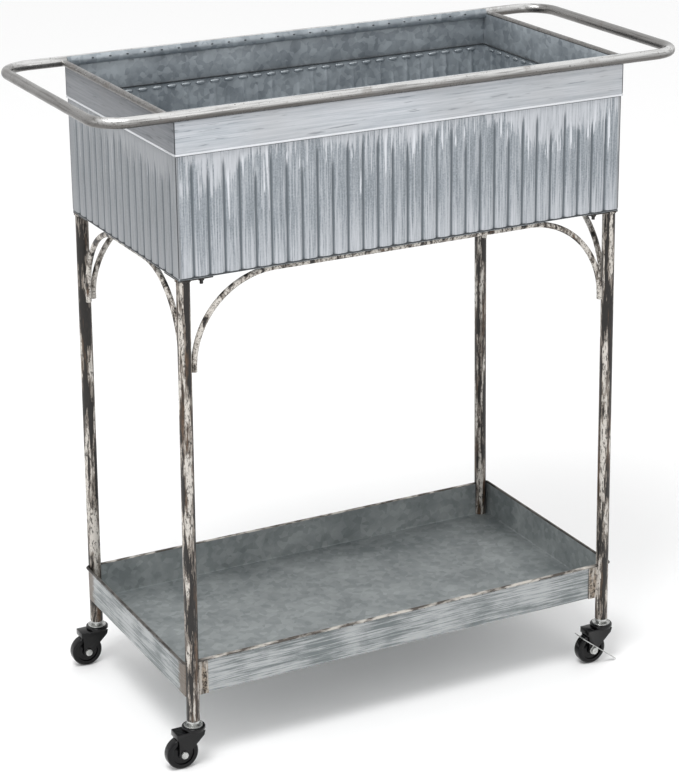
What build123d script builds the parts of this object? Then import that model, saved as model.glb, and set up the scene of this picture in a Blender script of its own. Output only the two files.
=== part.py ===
from build123d import *
import math
import os

os.makedirs("parts", exist_ok=True)

# A galvanised planter cart: a sheet-metal planter box on four tube legs, with a tray near the
# floor, a tube rail round the box that makes a push handle at each end, and four swivel casters.
# Millimetres. +X along the cart, +Z up, origin on the floor under the middle of the cart.

# How far a shape that only cuts another reaches past it
CUT_REACH = 5.0

# Handle rail
RAIL_HALF_LENGTH = 452.5  # middle of the cart to the end bar's centreline
RAIL_HALF_DEPTH = 193.5
RAIL_HEIGHT = 952.0
RAIL_RADIUS = 7.5
RAIL_WALL = 1.2
RAIL_BEND = 45.0
RAIL_SPLIT_GAP = 0.4
SLEEVE_LENGTH = 60.0

# Planter box
BOX_HALF_LENGTH = 350.0  # to the collar's outer face
BOX_HALF_DEPTH = 194.0
SHEET = 0.8
COLLAR_SHEET = 1.0
COLLAR_BOTTOM = 898.0
COLLAR_BEAD = 1.4
HEM_RADIUS = 4.8
HEM_HEIGHT = 951.0
FLUTE_INSET = 1.3  # collar's outer face to the flutes' crests
FLUTE_DEPTH = 3.0
FLUTE_MOUTH = 6.0
FLUTE_ROOT = 2.0
LONG_FLUTES = 30
SHORT_FLUTES = 16
FLUTED_TOP = 903.0
BOX_BOTTOM = 727.0
FLOOR_SHEET = 1.0
FLOOR_RAISE = 1.0
FLOOR_MARGIN = 4.6

# Legs and what joins them to the box
LEG_RADIUS = 9.5
LEG_WALL = 1.2
LEG_BOTTOM = 70.0
LEG_SPLAY = 5.5  # how far the foot stands further out than the top, along X
LEG_TOP_X = 339.4
LEG_Y = 183.4
PLATE_SIZE = 50.0
PLATE_THICKNESS = 2.0
STUD_RADIUS = 2.5
STUD_DROP = 11.0
STUD_FROM_LEG = 27.0
STUD_CLEARANCE = 0.1
NUT_ACROSS_FLATS = 8.0
NUT_HEIGHT = 4.0

# Arched braces
BRACE_RADIUS = 4.25
BRACE_FOOT = 592.0
BRACE_GAP = 0.1
LONG_ARCH = 125.0
SHORT_ARCH = 115.0

# Tray
TRAY_HALF_LENGTH = 355.5
TRAY_HALF_DEPTH = 183.4
TRAY_BOTTOM = 107.0
TRAY_WALL_TOP = 160.0
TRAY_ROLL = 2.25
LEG_NOTCH_GAP = 0.35
BRACKET_WIDTH = 15.0
BRACKET_SHEET = 1.5
BRACKET_HEIGHT = 51.2

# Casters, about a swivel axis through the foot of each leg
SOCKET_RADIUS = 8.0
SOCKET_LENGTH = 30.0
SOCKET_BOTTOM = 70.4
STEM_RADIUS = 5.45
STEM_TOP = 98.0
STEM_CHAMFER = 1.0
COLLAR_NUT_RADIUS = 9.4
COLLAR_NUT_BOTTOM = 65.5
NECK_RADIUS = 7.5
RACE_TOP = 62.0
RACE_RADIUS = 17.0
RACE_DISC = 1.9
RACE_SKIRT = 57.4
RACE_SHEET = 1.5
RACE_CHAMFER = 1.0
RIVET_RADIUS = 4.0
RIVET_HEAD_RADIUS = 6.5
RIVET_HEAD = 1.6
RIVET_GAP = 0.1
NECK_GAP = 0.3
RUNNING_GAP = 0.06
BALL_RADIUS = 1.5
BALL_CIRCLE = 11.5
BALL_COUNT = 12
FORK_TOP = 57.0
FORK_SHEET = 2.0
FORK_DISC = 15.2
NOSE_REACH = 30.0
NOSE_HALF_WIDTH = 11.5
NOSE_LIP = 7.0
CHEEK_INNER = 9.6
CHEEK_SHEET = 1.5
CHEEK_BACK = 13.7  # back edge of a cheek behind the swivel axis, at its top
CHEEK_BACK_LOW = 11.7
CHEEK_BACK_DROP = 7.0
CHEEK_FRONT_DROP = 14.0
CHEEK_FOOT = 7.0  # half width of a cheek at the axle
BOSS_RADIUS = 7.4
TRAIL = 20.0
WHEEL_RADIUS = 24.0
WHEEL_WIDTH = 16.0
TREAD_THICKNESS = 4.0
TREAD_ROUNDING = 3.5
HUB_HALF_WIDTH = 9.2
HUB_RADIUS = 7.5
RECESS_DEPTH = 3.0
RECESS_RADIUS = 16.5
AXLE_RADIUS = 3.0
AXLE_HEAD_RADIUS = 5.2
AXLE_HEAD = 3.2
AXLE_NUT_ACROSS_FLATS = 10.0
AXLE_PAST_NUT = 1.0

# Brake lever on the two right-hand casters
LEVER_SHEET = 1.4
LEVER_EYE_RADIUS = 6.4
LEVER_GAP = 0.3
LEVER_DROP_ANGLE = 38.0  # the strip's slope down towards the pedal
LEVER_OFFSET = 6.6  # axle's centre to the strip's middle
LEVER_FLANGE = 6.0
LEVER_WEB = 6.0  # half width of the web between the eye and the strip
LEVER_TO_PAD = 25.5
LEVER_TO_PEDAL = 43.0
PAD_WIDTH = 9.0
PAD_REACH = 7.0  # past the wheel's middle

CORNERS = {
    "front_left": (-1, -1),
    "front_right": (1, -1),
    "back_left": (-1, 1),
    "back_right": (1, 1),
}
BRAKED = ("front_right", "back_right")


def save(node, shape):
    """Writes one sub-part to its own STEP file."""
    export_step(shape, f"parts/{node}.step")


def group(solids):
    """Several separate solids that share one node."""
    return Compound(children=list(solids))


def slab(x_start, x_end, y_start, y_end, z_start, z_end):
    """A block between two opposite corners, whichever way round they are given."""
    size = (abs(x_end - x_start), abs(y_end - y_start), abs(z_end - z_start))
    middle = ((x_start + x_end) / 2, (y_start + y_end) / 2, (z_start + z_end) / 2)
    return Pos(*middle) * Box(*size)


def rod(start, end, radius):
    """A straight round bar from one point to another."""
    path = Line(start, end)
    return sweep(Plane(origin=path @ 0, z_dir=path % 0) * Circle(radius), path=path)


def nut(across_flats):
    """A hexagon nut standing on the floor plane."""
    return extrude(RegularPolygon(across_flats / 2, 6, major_radius=False), NUT_HEIGHT)


def turned(profile):
    """A solid turned about the Z axis from (radius, height) points."""
    outline = Polyline(*[(r, 0, z) for r, z in profile], close=True)
    return revolve(make_face(outline), axis=Axis.Z)


# ---- handle rail ----------------------------------------------------------------------------


def rail_half(side):
    """One U-shaped half of the rail: long run, end bar, long run."""
    near = side * RAIL_SPLIT_GAP / 2
    end = side * RAIL_HALF_LENGTH
    corners = [
        (near, -RAIL_HALF_DEPTH, RAIL_HEIGHT),
        (end, -RAIL_HALF_DEPTH, RAIL_HEIGHT),
        (end, RAIL_HALF_DEPTH, RAIL_HEIGHT),
        (near, RAIL_HALF_DEPTH, RAIL_HEIGHT),
    ]
    path = FilletPolyline(*corners, radius=RAIL_BEND)
    section = Circle(RAIL_RADIUS) - Circle(RAIL_RADIUS - RAIL_WALL)
    return sweep(Plane(origin=path @ 0, z_dir=path % 0) * section, path=path)


def rail_sleeves():
    """Two inner sleeves that join the halves of the rail."""
    reach = SLEEVE_LENGTH / 2
    radius = RAIL_RADIUS - RAIL_WALL
    return [
        rod((-reach, y, RAIL_HEIGHT), (reach, y, RAIL_HEIGHT), radius)
        for y in (-RAIL_HALF_DEPTH, RAIL_HALF_DEPTH)
    ]


# ---- planter box ----------------------------------------------------------------------------

FLUTE_HALF_LENGTH = BOX_HALF_LENGTH - FLUTE_INSET
FLUTE_HALF_DEPTH = BOX_HALF_DEPTH - FLUTE_INSET


def long_collar(side):
    """Flat collar sheet of a long side, with a bead along its lower edge."""
    outer = BOX_HALF_DEPTH
    inner = outer - COLLAR_SHEET
    sheet = slab(
        -BOX_HALF_LENGTH, BOX_HALF_LENGTH, inner, outer, COLLAR_BOTTOM, RAIL_HEIGHT - RAIL_RADIUS
    )
    bead_y = outer - COLLAR_BEAD / 2
    bead_z = COLLAR_BOTTOM + COLLAR_BEAD
    ends = [(x, bead_y, bead_z) for x in (-BOX_HALF_LENGTH, BOX_HALF_LENGTH)]
    # The bead is cut off at the sheet's inner face, so that the flutes fit behind it.
    inside = slab(
        -BOX_HALF_LENGTH, BOX_HALF_LENGTH, inner - CUT_REACH, inner, COLLAR_BOTTOM,
        bead_z + CUT_REACH,
    )
    collar = sheet + rod(*ends, COLLAR_BEAD) - inside
    return collar if side > 0 else mirror(collar, Plane.XZ)


def end_collar(side):
    """Collar sheet of a short end, with a bead below and a rolled hem along its top edge."""
    outer = BOX_HALF_LENGTH
    inner = outer - COLLAR_SHEET
    reach = BOX_HALF_DEPTH - COLLAR_SHEET
    sheet = slab(inner, outer, -reach, reach, COLLAR_BOTTOM, HEM_HEIGHT)
    bead_x = outer - COLLAR_BEAD / 2
    bead_z = COLLAR_BOTTOM + COLLAR_BEAD
    bead = rod((bead_x, -reach, bead_z), (bead_x, reach, bead_z), COLLAR_BEAD)
    inside = slab(
        inner - CUT_REACH, inner, -reach, reach, COLLAR_BOTTOM, bead_z + CUT_REACH
    )
    hem_reach = RAIL_HALF_DEPTH - RAIL_RADIUS
    # The hem is rolled outward over a wire, so it stands out from the sheet's inner face.
    hem_x = inner + HEM_RADIUS
    hem = rod((hem_x, -hem_reach, HEM_HEIGHT), (hem_x, hem_reach, HEM_HEIGHT), HEM_RADIUS)
    collar = sheet + bead - inside
    # The sheet's top corners stop a sheet's thickness short of the rail.
    corner_top = RAIL_HEIGHT - RAIL_RADIUS - COLLAR_SHEET
    for y_side in (-1, 1):
        collar -= slab(inner, outer, y_side * hem_reach, y_side * reach, corner_top, HEM_HEIGHT)
    collar += hem
    return collar if side > 0 else mirror(collar, Plane.YZ)


def fluted_outline(half_run, count):
    """(along, inward) points of a fluted sheet's outer face: wide crests, narrow grooves."""
    pitch = 2 * half_run / count
    points = [(-half_run, 0)]
    for groove in range(count - 1):
        middle = -half_run + (groove + 1) * pitch
        points.append((middle - FLUTE_MOUTH / 2, 0))
        points.append((middle - FLUTE_ROOT / 2, FLUTE_DEPTH))
        points.append((middle + FLUTE_ROOT / 2, FLUTE_DEPTH))
        points.append((middle + FLUTE_MOUTH / 2, 0))
    points.append((half_run, 0))
    return points


def fluted_panel(half_run, outer, count):
    """A fluted wall facing +Y, standing on the floor sheet."""
    face_line = [(a, outer - i) for a, i in fluted_outline(half_run, count)]
    back_line = [(a, y - SHEET) for a, y in reversed(face_line)]
    outline = Polyline(*face_line, *back_line, close=True)
    bottom = BOX_BOTTOM + FLOOR_SHEET
    return Pos(0, 0, bottom) * extrude(make_face(outline), FLUTED_TOP - bottom)


def long_panel(side):
    """Fluted wall of a long side."""
    panel = fluted_panel(FLUTE_HALF_LENGTH, FLUTE_HALF_DEPTH, LONG_FLUTES)
    return panel if side > 0 else mirror(panel, Plane.XZ)


def short_panel(side):
    """Fluted wall of a short end, between the long ones."""
    panel = fluted_panel(FLUTE_HALF_DEPTH - SHEET, FLUTE_HALF_LENGTH, SHORT_FLUTES)
    panel = Rot(0, 0, -90) * panel
    return panel if side > 0 else mirror(panel, Plane.YZ)


def planter_floor():
    """Floor sheet that the walls stand on, with its middle stamped up."""
    x = FLUTE_HALF_LENGTH
    y = FLUTE_HALF_DEPTH
    sheet = slab(-x, x, -y, y, BOX_BOTTOM, BOX_BOTTOM + FLOOR_SHEET)
    x -= FLOOR_MARGIN
    y -= FLOOR_MARGIN
    top = BOX_BOTTOM + FLOOR_SHEET + FLOOR_RAISE
    raised = slab(-x, x, -y, y, BOX_BOTTOM + FLOOR_SHEET, top)
    hollow_x = x - FLOOR_RAISE
    hollow_y = y - FLOOR_RAISE
    hollow = slab(-hollow_x, hollow_x, -hollow_y, hollow_y, BOX_BOTTOM, top - FLOOR_SHEET)
    floor = sheet + raised - hollow
    # Each corner is solid where its leg plate and stud are fixed.
    for sx, sy in CORNERS.values():
        floor += slab(
            sx * x, sx * (x - PLATE_SIZE), sy * y, sy * (y - PLATE_SIZE), BOX_BOTTOM, top
        )
    return floor


# ---- legs, plates and braces ----------------------------------------------------------------

LEG_TOP = BOX_BOTTOM - PLATE_THICKNESS
LEG_SLOPE = LEG_SPLAY / (LEG_TOP - LEG_BOTTOM)


def leg_x(height):
    """How far out a leg's centreline is at this height."""
    return LEG_TOP_X + (LEG_TOP - height) * LEG_SLOPE


def leg_column(sx, sy, section, low, high):
    """A flat section carried up a leg's slightly leaning centreline."""
    start = Pos(sx * leg_x(low), sy * LEG_Y, low)
    lean = Vector(-sx * LEG_SLOPE, 0, 1)
    return extrude(start * section, (high - low) * lean.length, dir=lean)


def leg(sx, sy):
    """A tube leg, open at its foot for the caster's socket."""
    section = Circle(LEG_RADIUS) - Circle(LEG_RADIUS - LEG_WALL)
    return leg_column(sx, sy, section, LEG_BOTTOM, LEG_TOP)


def stud_place(sx, sy):
    """Where a corner's stud stands, inboard of its leg."""
    return sx * (LEG_TOP_X - STUD_FROM_LEG), sy * LEG_Y


def leg_plate(sx, sy):
    """Square plate between a leg and the box's floor, with a hole for its stud."""
    x_out, y_out = sx * FLUTE_HALF_LENGTH, sy * FLUTE_HALF_DEPTH
    x_in, y_in = x_out - sx * PLATE_SIZE, y_out - sy * PLATE_SIZE
    plate = slab(x_in, x_out, y_in, y_out, LEG_TOP, BOX_BOTTOM)
    hole = Cylinder(STUD_RADIUS + STUD_CLEARANCE, 3 * PLATE_THICKNESS)
    return plate - Pos(*stud_place(sx, sy), LEG_TOP) * hole


def plate_stud(sx, sy):
    """A stud under the floor with its nut, which holds the leg plate."""
    x, y = stud_place(sx, sy)
    stud = rod((x, y, BOX_BOTTOM - STUD_DROP), (x, y, BOX_BOTTOM), STUD_RADIUS)
    return stud + Pos(x, y, LEG_TOP - NUT_HEIGHT) * nut(NUT_ACROSS_FLATS)


def arched_brace(half_span, arch):
    """A round bar along X under the box's edge, bent down to the legs at both ends."""
    top = BOX_BOTTOM - BRACE_RADIUS
    corners = [
        (-half_span, 0, BRACE_FOOT),
        (-half_span, 0, top),
        (half_span, 0, top),
        (half_span, 0, BRACE_FOOT),
    ]
    path = FilletPolyline(*corners, radius=arch)
    return sweep(Plane(origin=path @ 0, z_dir=path % 0) * Circle(BRACE_RADIUS), path=path)


# ---- tray -----------------------------------------------------------------------------------


def tray_pan():
    """Folded tray with an outward rolled rim, notched round the four legs."""
    x, y = TRAY_HALF_LENGTH, TRAY_HALF_DEPTH
    outside = slab(-x, x, -y, y, TRAY_BOTTOM, TRAY_WALL_TOP)
    inside = slab(
        -x + SHEET, x - SHEET, -y + SHEET, y - SHEET, TRAY_BOTTOM + SHEET, TRAY_WALL_TOP
    )
    pan = outside - inside
    # The roll is tangent to the walls' inner faces and overlaps their top edge.
    roll_z = TRAY_WALL_TOP + TRAY_ROLL / 2
    roll_x, roll_y = x - SHEET + TRAY_ROLL, y - SHEET + TRAY_ROLL
    corners = [(-roll_x, -roll_y), (roll_x, -roll_y), (roll_x, roll_y), (-roll_x, roll_y)]
    for start, end in zip(corners, corners[1:] + corners[:1]):
        pan += rod((*start, roll_z), (*end, roll_z), TRAY_ROLL)
    for corner in corners:
        pan += Pos(*corner, roll_z) * Sphere(TRAY_ROLL)
    for sx, sy in CORNERS.values():
        notch = Circle(LEG_RADIUS + LEG_NOTCH_GAP)
        pan -= leg_column(sx, sy, notch, TRAY_BOTTOM - CUT_REACH, TRAY_WALL_TOP + CUT_REACH)
    return pan


def tray_bracket(sx, sy):
    """A tab on the outside of the tray's long wall, welded to the leg beside it."""
    edge = leg_x(TRAY_BOTTOM) - LEG_RADIUS
    face = sy * TRAY_HALF_DEPTH
    top = TRAY_BOTTOM + BRACKET_HEIGHT
    tab = slab(
        sx * edge, sx * (edge - BRACKET_WIDTH), face, face + sy * BRACKET_SHEET, TRAY_BOTTOM, top
    )
    return tab - leg_column(sx, sy, Circle(LEG_RADIUS), TRAY_BOTTOM - CUT_REACH, top + CUT_REACH)


# ---- casters --------------------------------------------------------------------------------

AXLE_HEIGHT = WHEEL_RADIUS
CHEEK_OUTER = CHEEK_INNER + CHEEK_SHEET


def stem_socket():
    """Sleeve inside the foot of a leg that grips the caster's stem."""
    section = Circle(SOCKET_RADIUS) - Circle(STEM_RADIUS)
    return Pos(0, 0, SOCKET_BOTTOM) * extrude(section, SOCKET_LENGTH)


def caster_stem():
    """Stem, collar nut, neck and the swivel rivet that carries the fork."""
    fork_under = FORK_TOP - FORK_SHEET
    head_top = fork_under - RIVET_GAP
    return turned([
        (0, head_top - RIVET_HEAD),
        (RIVET_HEAD_RADIUS, head_top - RIVET_HEAD),
        (RIVET_HEAD_RADIUS, head_top),
        (RIVET_RADIUS, head_top),
        (RIVET_RADIUS, FORK_TOP + NECK_GAP),
        (NECK_RADIUS, FORK_TOP + NECK_GAP),
        (NECK_RADIUS, COLLAR_NUT_BOTTOM),
        (COLLAR_NUT_RADIUS, COLLAR_NUT_BOTTOM),
        (COLLAR_NUT_RADIUS, LEG_BOTTOM),
        (STEM_RADIUS, LEG_BOTTOM),
        (STEM_RADIUS, STEM_TOP - STEM_CHAMFER),
        (STEM_RADIUS - STEM_CHAMFER, STEM_TOP),
        (0, STEM_TOP),
    ])


def race_cup():
    """Pressed ring over the swivel's balls, fixed round the stem's neck."""
    under = RACE_TOP - RACE_DISC
    return turned([
        (NECK_RADIUS, RACE_TOP),
        (NECK_RADIUS, under),
        (RACE_RADIUS - RACE_SHEET, under),
        (RACE_RADIUS - RACE_SHEET, RACE_SKIRT),
        (RACE_RADIUS, RACE_SKIRT),
        (RACE_RADIUS, RACE_TOP - RACE_CHAMFER),
        (RACE_RADIUS - RACE_CHAMFER, RACE_TOP),
    ])


def race_balls():
    """The ring of balls between the fork and the race cup."""
    balls = []
    for i in range(BALL_COUNT):
        turn = math.tau * i / BALL_COUNT
        place = Pos(
            BALL_CIRCLE * math.cos(turn), BALL_CIRCLE * math.sin(turn), FORK_TOP + BALL_RADIUS
        )
        balls.append(place * Sphere(BALL_RADIUS))
    return balls


def cheek(side):
    """One side plate of the fork, from the top plate down to the axle."""
    top = FORK_TOP - FORK_SHEET
    front = -NOSE_REACH + FORK_SHEET
    outline = Polyline(
        (front, top),
        (CHEEK_BACK, top),
        (CHEEK_BACK_LOW, top - CHEEK_BACK_DROP),
        (-TRAIL + CHEEK_FOOT, AXLE_HEIGHT),
        (-TRAIL - CHEEK_FOOT, AXLE_HEIGHT),
        (-TRAIL - CHEEK_FOOT, top - CHEEK_FRONT_DROP),
        (front, top - NOSE_LIP),
        close=True,
    )
    sheet = make_face(Plane.XZ * outline)
    y = CHEEK_INNER if side > 0 else -CHEEK_OUTER
    plate = extrude(Pos(0, y, 0) * sheet, CHEEK_SHEET, dir=(0, 1, 0))
    boss = rod((-TRAIL, y, AXLE_HEIGHT), (-TRAIL, y + CHEEK_SHEET, AXLE_HEIGHT), BOSS_RADIUS)
    return plate + boss


def caster_fork():
    """Pressed fork: top plate with a nose, its lip and two cheeks."""
    under = FORK_TOP - FORK_SHEET
    disc = extrude(Circle(FORK_DISC), FORK_SHEET)
    top = Pos(0, 0, under) * disc
    top += slab(-NOSE_REACH, 0, -NOSE_HALF_WIDTH, NOSE_HALF_WIDTH, under, FORK_TOP)
    lip = slab(
        -NOSE_REACH, -NOSE_REACH + FORK_SHEET, -NOSE_HALF_WIDTH, NOSE_HALF_WIDTH,
        under - NOSE_LIP, under
    )
    fork = top + lip + cheek(-1) + cheek(1)
    fork -= Pos(0, 0, under) * Cylinder(RIVET_RADIUS + RUNNING_GAP, 4 * FORK_SHEET)
    bore = Rot(90, 0, 0) * Cylinder(AXLE_RADIUS + RUNNING_GAP, 4 * CHEEK_OUTER)
    return fork - Pos(-TRAIL, 0, AXLE_HEIGHT) * bore


def caster_axle(braked):
    """Bolt through the cheeks, head to the front, nut to the back."""
    head_start = CHEEK_OUTER + (LEVER_SHEET + 2 * LEVER_GAP if braked else 0)
    shank_end = CHEEK_OUTER + NUT_HEIGHT + AXLE_PAST_NUT
    shank = rod((0, -head_start, 0), (0, shank_end, 0), AXLE_RADIUS)
    head = rod((0, -head_start - AXLE_HEAD, 0), (0, -head_start, 0), AXLE_HEAD_RADIUS)
    axle_nut = Pos(0, CHEEK_OUTER, 0) * Rot(-90, 0, 0) * nut(AXLE_NUT_ACROSS_FLATS)
    return Pos(-TRAIL, 0, AXLE_HEIGHT) * (shank + head + axle_nut)


def caster_wheel():
    """Moulded wheel with rounded shoulders, a recessed web and a hub with a bore."""
    half = WHEEL_WIDTH / 2
    bore = AXLE_RADIUS + RUNNING_GAP
    outer = WHEEL_RADIUS - TREAD_THICKNESS
    wheel = turned([
        (bore, -HUB_HALF_WIDTH),
        (HUB_RADIUS, -HUB_HALF_WIDTH),
        (HUB_RADIUS, -half + RECESS_DEPTH),
        (RECESS_RADIUS, -half + RECESS_DEPTH),
        (RECESS_RADIUS, -half),
        (outer, -half),
        (outer, half),
        (RECESS_RADIUS, half),
        (RECESS_RADIUS, half - RECESS_DEPTH),
        (HUB_RADIUS, half - RECESS_DEPTH),
        (HUB_RADIUS, HUB_HALF_WIDTH),
        (bore, HUB_HALF_WIDTH),
    ])
    tread = Cylinder(WHEEL_RADIUS, WHEEL_WIDTH) - Cylinder(outer, 2 * WHEEL_WIDTH)
    middle = (outer + WHEEL_RADIUS) / 2
    rims = [e for e in tread.edges().filter_by(GeomType.CIRCLE) if e.radius > middle]
    wheel += fillet(rims, TREAD_ROUNDING)
    return Pos(-TRAIL, 0, AXLE_HEIGHT) * Rot(90, 0, 0) * wheel


def brake_lever():
    """Side lever turning on the axle bolt: an eye, a folded strip, a pad and a pedal tip."""
    y_inner = -CHEEK_OUTER - LEVER_GAP
    y_outer = y_inner - LEVER_SHEET
    y_tip = y_inner - LEVER_FLANGE
    eye = rod((0, y_outer, 0), (0, y_inner, 0), LEVER_EYE_RADIUS)
    web = slab(-LEVER_WEB, LEVER_WEB, y_outer, y_inner, 0, LEVER_OFFSET)
    bore = rod(
        (0, y_outer - CUT_REACH, 0), (0, y_inner + CUT_REACH, 0), AXLE_RADIUS + RUNNING_GAP
    )
    low = LEVER_OFFSET - LEVER_SHEET / 2
    high = LEVER_OFFSET + LEVER_SHEET / 2
    pad_end = -LEVER_TO_PAD - PAD_WIDTH
    strip = slab(pad_end, LEVER_TO_PEDAL, y_tip, y_inner, low, high)
    pad = slab(pad_end, -LEVER_TO_PAD, y_inner, PAD_REACH, low, high)
    lever = eye + web - bore + strip + pad
    return Pos(-TRAIL, 0, AXLE_HEIGHT) * Rot(0, LEVER_DROP_ANGLE, 0) * lever


# ---- write the parts ------------------------------------------------------------------------

for name, side in (("left", -1), ("right", 1)):
    save(f"handle_rail_{name}", rail_half(side))
    save(f"collar_{name}", end_collar(side))
    save(f"fluted_wall_{name}", short_panel(side))
for name, side in (("front", -1), ("back", 1)):
    save(f"collar_{name}", long_collar(side))
    save(f"fluted_wall_{name}", long_panel(side))
save("rail_sleeves", group(rail_sleeves()))
save("planter_floor", planter_floor())

for name, (sx, sy) in CORNERS.items():
    save(f"leg_{name}", leg(sx, sy))
    save(f"leg_plate_{name}", leg_plate(sx, sy))
    save(f"tray_bracket_{name}", tray_bracket(sx, sy))
save("plate_studs", group(plate_stud(sx, sy) for sx, sy in CORNERS.values()))

brace_inset = LEG_RADIUS + BRACE_RADIUS + BRACE_GAP
brace_foot_x = leg_x(BRACE_FOOT) - brace_inset
brace_foot_y = LEG_Y - brace_inset
for name, side in (("front", -1), ("back", 1)):
    save(f"brace_{name}", Pos(0, side * LEG_Y, 0) * arched_brace(brace_foot_x, LONG_ARCH))
for name, side in (("left", -1), ("right", 1)):
    brace = Rot(0, 0, 90) * arched_brace(brace_foot_y, SHORT_ARCH)
    save(f"brace_{name}", Pos(side * LEG_TOP_X, 0, 0) * brace)

save("tray_pan", tray_pan())

sockets = []
for name, (sx, sy) in CORNERS.items():
    at = Pos(sx * leg_x(LEG_BOTTOM), sy * LEG_Y, 0)
    sockets.append(at * stem_socket())
    save(f"caster_stem_{name}", at * caster_stem())
    save(f"race_cup_{name}", at * race_cup())
    save(f"race_balls_{name}", group(at * ball for ball in race_balls()))
    save(f"caster_fork_{name}", at * caster_fork())
    save(f"caster_axle_{name}", at * caster_axle(name in BRAKED))
    save(f"caster_wheel_{name}", at * caster_wheel())
    if name in BRAKED:
        save(f"brake_lever_{name}", at * brake_lever())
save("stem_sockets", group(sockets))
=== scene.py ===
import bmesh
import bpy
import math
import random
from mathutils import Matrix, Vector


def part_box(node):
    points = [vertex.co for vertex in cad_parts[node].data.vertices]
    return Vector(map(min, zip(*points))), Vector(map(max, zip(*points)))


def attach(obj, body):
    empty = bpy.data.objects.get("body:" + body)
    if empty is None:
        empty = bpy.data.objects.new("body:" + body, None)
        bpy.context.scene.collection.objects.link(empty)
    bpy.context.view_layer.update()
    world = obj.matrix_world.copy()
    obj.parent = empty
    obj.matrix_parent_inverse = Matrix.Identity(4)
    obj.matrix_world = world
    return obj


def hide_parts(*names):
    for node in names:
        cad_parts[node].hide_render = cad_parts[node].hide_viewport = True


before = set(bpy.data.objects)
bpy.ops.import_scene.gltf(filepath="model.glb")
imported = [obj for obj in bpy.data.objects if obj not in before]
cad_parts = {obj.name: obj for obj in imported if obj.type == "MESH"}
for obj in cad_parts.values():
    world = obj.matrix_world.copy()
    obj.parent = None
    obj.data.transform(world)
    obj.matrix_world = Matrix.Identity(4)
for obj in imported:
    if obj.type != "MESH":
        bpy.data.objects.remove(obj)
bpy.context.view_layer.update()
MM = 0.001

# ---- Camera, light and floor ------------------------------------------------------------------
# The cart stands on a pale studio floor under broad soft lights. The camera is a little above
# the rail and to the left of the front, with a long lens.
CAMERA_PLACE = (-1.5343, -2.9640, 1.6887)
CAMERA_TURN = math.radians(27.228)
CAMERA_DOWN = math.radians(18.226)
CAMERA_ROLL = math.radians(-0.594)
CAMERA_LENS = 109.364
CAMERA_SHIFT_X = -0.0006
CAMERA_SHIFT_Y = -0.11588
CAMERA_REACH = 500
FLOOR_SIZE = 300
CART_MIDDLE = Vector((0, 0, 0.5))

camera = bpy.data.objects.new("camera", bpy.data.cameras.new("camera"))
bpy.context.scene.collection.objects.link(camera)
camera.matrix_world = (
    Matrix.Translation(CAMERA_PLACE)
    @ Matrix.Rotation(-CAMERA_TURN, 4, "Z")
    @ Matrix.Rotation(math.radians(90) - CAMERA_DOWN, 4, "X")
    @ Matrix.Rotation(CAMERA_ROLL, 4, "Z")
)
camera.data.lens = CAMERA_LENS
camera.data.shift_x = CAMERA_SHIFT_X
camera.data.shift_y = CAMERA_SHIFT_Y
camera.data.clip_end = CAMERA_REACH
bpy.context.scene.camera = camera


def linear(hex_colour):
    """An sRGB hex colour as the linear colour that shaders take."""
    parts = [int(hex_colour[i:i + 2], 16) / 255 for i in (1, 3, 5)]
    return (*[p / 12.92 if p <= 0.04045 else ((p + 0.055) / 1.055) ** 2.4 for p in parts], 1)


def soft_light(name, place, size, power):
    """A square area light that faces the middle of the cart."""
    lamp = bpy.data.lights.new(name, "AREA")
    lamp.size = size
    lamp.energy = power
    holder = bpy.data.objects.new(name, lamp)
    bpy.context.scene.collection.objects.link(holder)
    holder.location = place
    holder.rotation_euler = (CART_MIDDLE - Vector(place)).to_track_quat("-Z", "Y").to_euler()


soft_light("key_light", (-1.2, -1.0, 3.4), 1.2, 60)
soft_light("front_light", (0.8, -4.2, 2.0), 1.6, 12)
soft_light("side_light", (-4.0, 0.4, 1.6), 1.6, 6)

world = bpy.data.worlds.new("studio")
world.use_nodes = True
world.node_tree.nodes["Background"].inputs["Color"].default_value = linear("#FFFFFF")
world.node_tree.nodes["Background"].inputs["Strength"].default_value = 1.0
bpy.context.scene.world = world
bpy.context.scene.view_settings.view_transform = "Standard"

bpy.ops.mesh.primitive_plane_add(size=FLOOR_SIZE)
floor = bpy.context.object
floor.name = "floor"
floor_paint = bpy.data.materials.new("pale_floor_paint")
floor_paint.use_nodes = True
floor_paint.node_tree.nodes["Principled BSDF"].inputs["Base Color"].default_value = linear("#F6F6F6")
floor_paint.node_tree.nodes["Principled BSDF"].inputs["Roughness"].default_value = 0.9
floor.data.materials.append(floor_paint)

# ---- Handle rail ------------------------------------------------------------------------------
# One 15 mm steel tube runs round the box's top edge and stands out past each end as a handle.
# It is bare mild steel, bent, joined by sleeves at the middle of the long sides, with scratches
# and brown marks. The top of the long sides is painted bright as a painted highlight, and the
# underside and the end bars are painted dark as painted shade.
RAIL_LOW, RAIL_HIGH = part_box("handle_rail_left")
RAIL_RADIUS = (RAIL_HIGH.z - RAIL_LOW.z) / 2
RAIL_HEIGHT = (RAIL_HIGH.z + RAIL_LOW.z) / 2
RAIL_LENGTH = 2 * (-RAIL_LOW.x - RAIL_RADIUS)
RAIL_DEPTH = 2 * (RAIL_HIGH.y - RAIL_RADIUS)
RAIL_BEND = 45 * MM


def start_piece(name):
    """Names the object that an operator has just added."""
    piece = bpy.context.object
    piece.name = name
    piece.data.name = name
    return piece


def settle(piece):
    """Applies the piece's place, turn and size to its mesh."""
    bpy.ops.object.select_all(action="DESELECT")
    piece.select_set(True)
    bpy.context.view_layer.objects.active = piece
    bpy.ops.object.transform_apply(location=True, rotation=True, scale=True)


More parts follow.
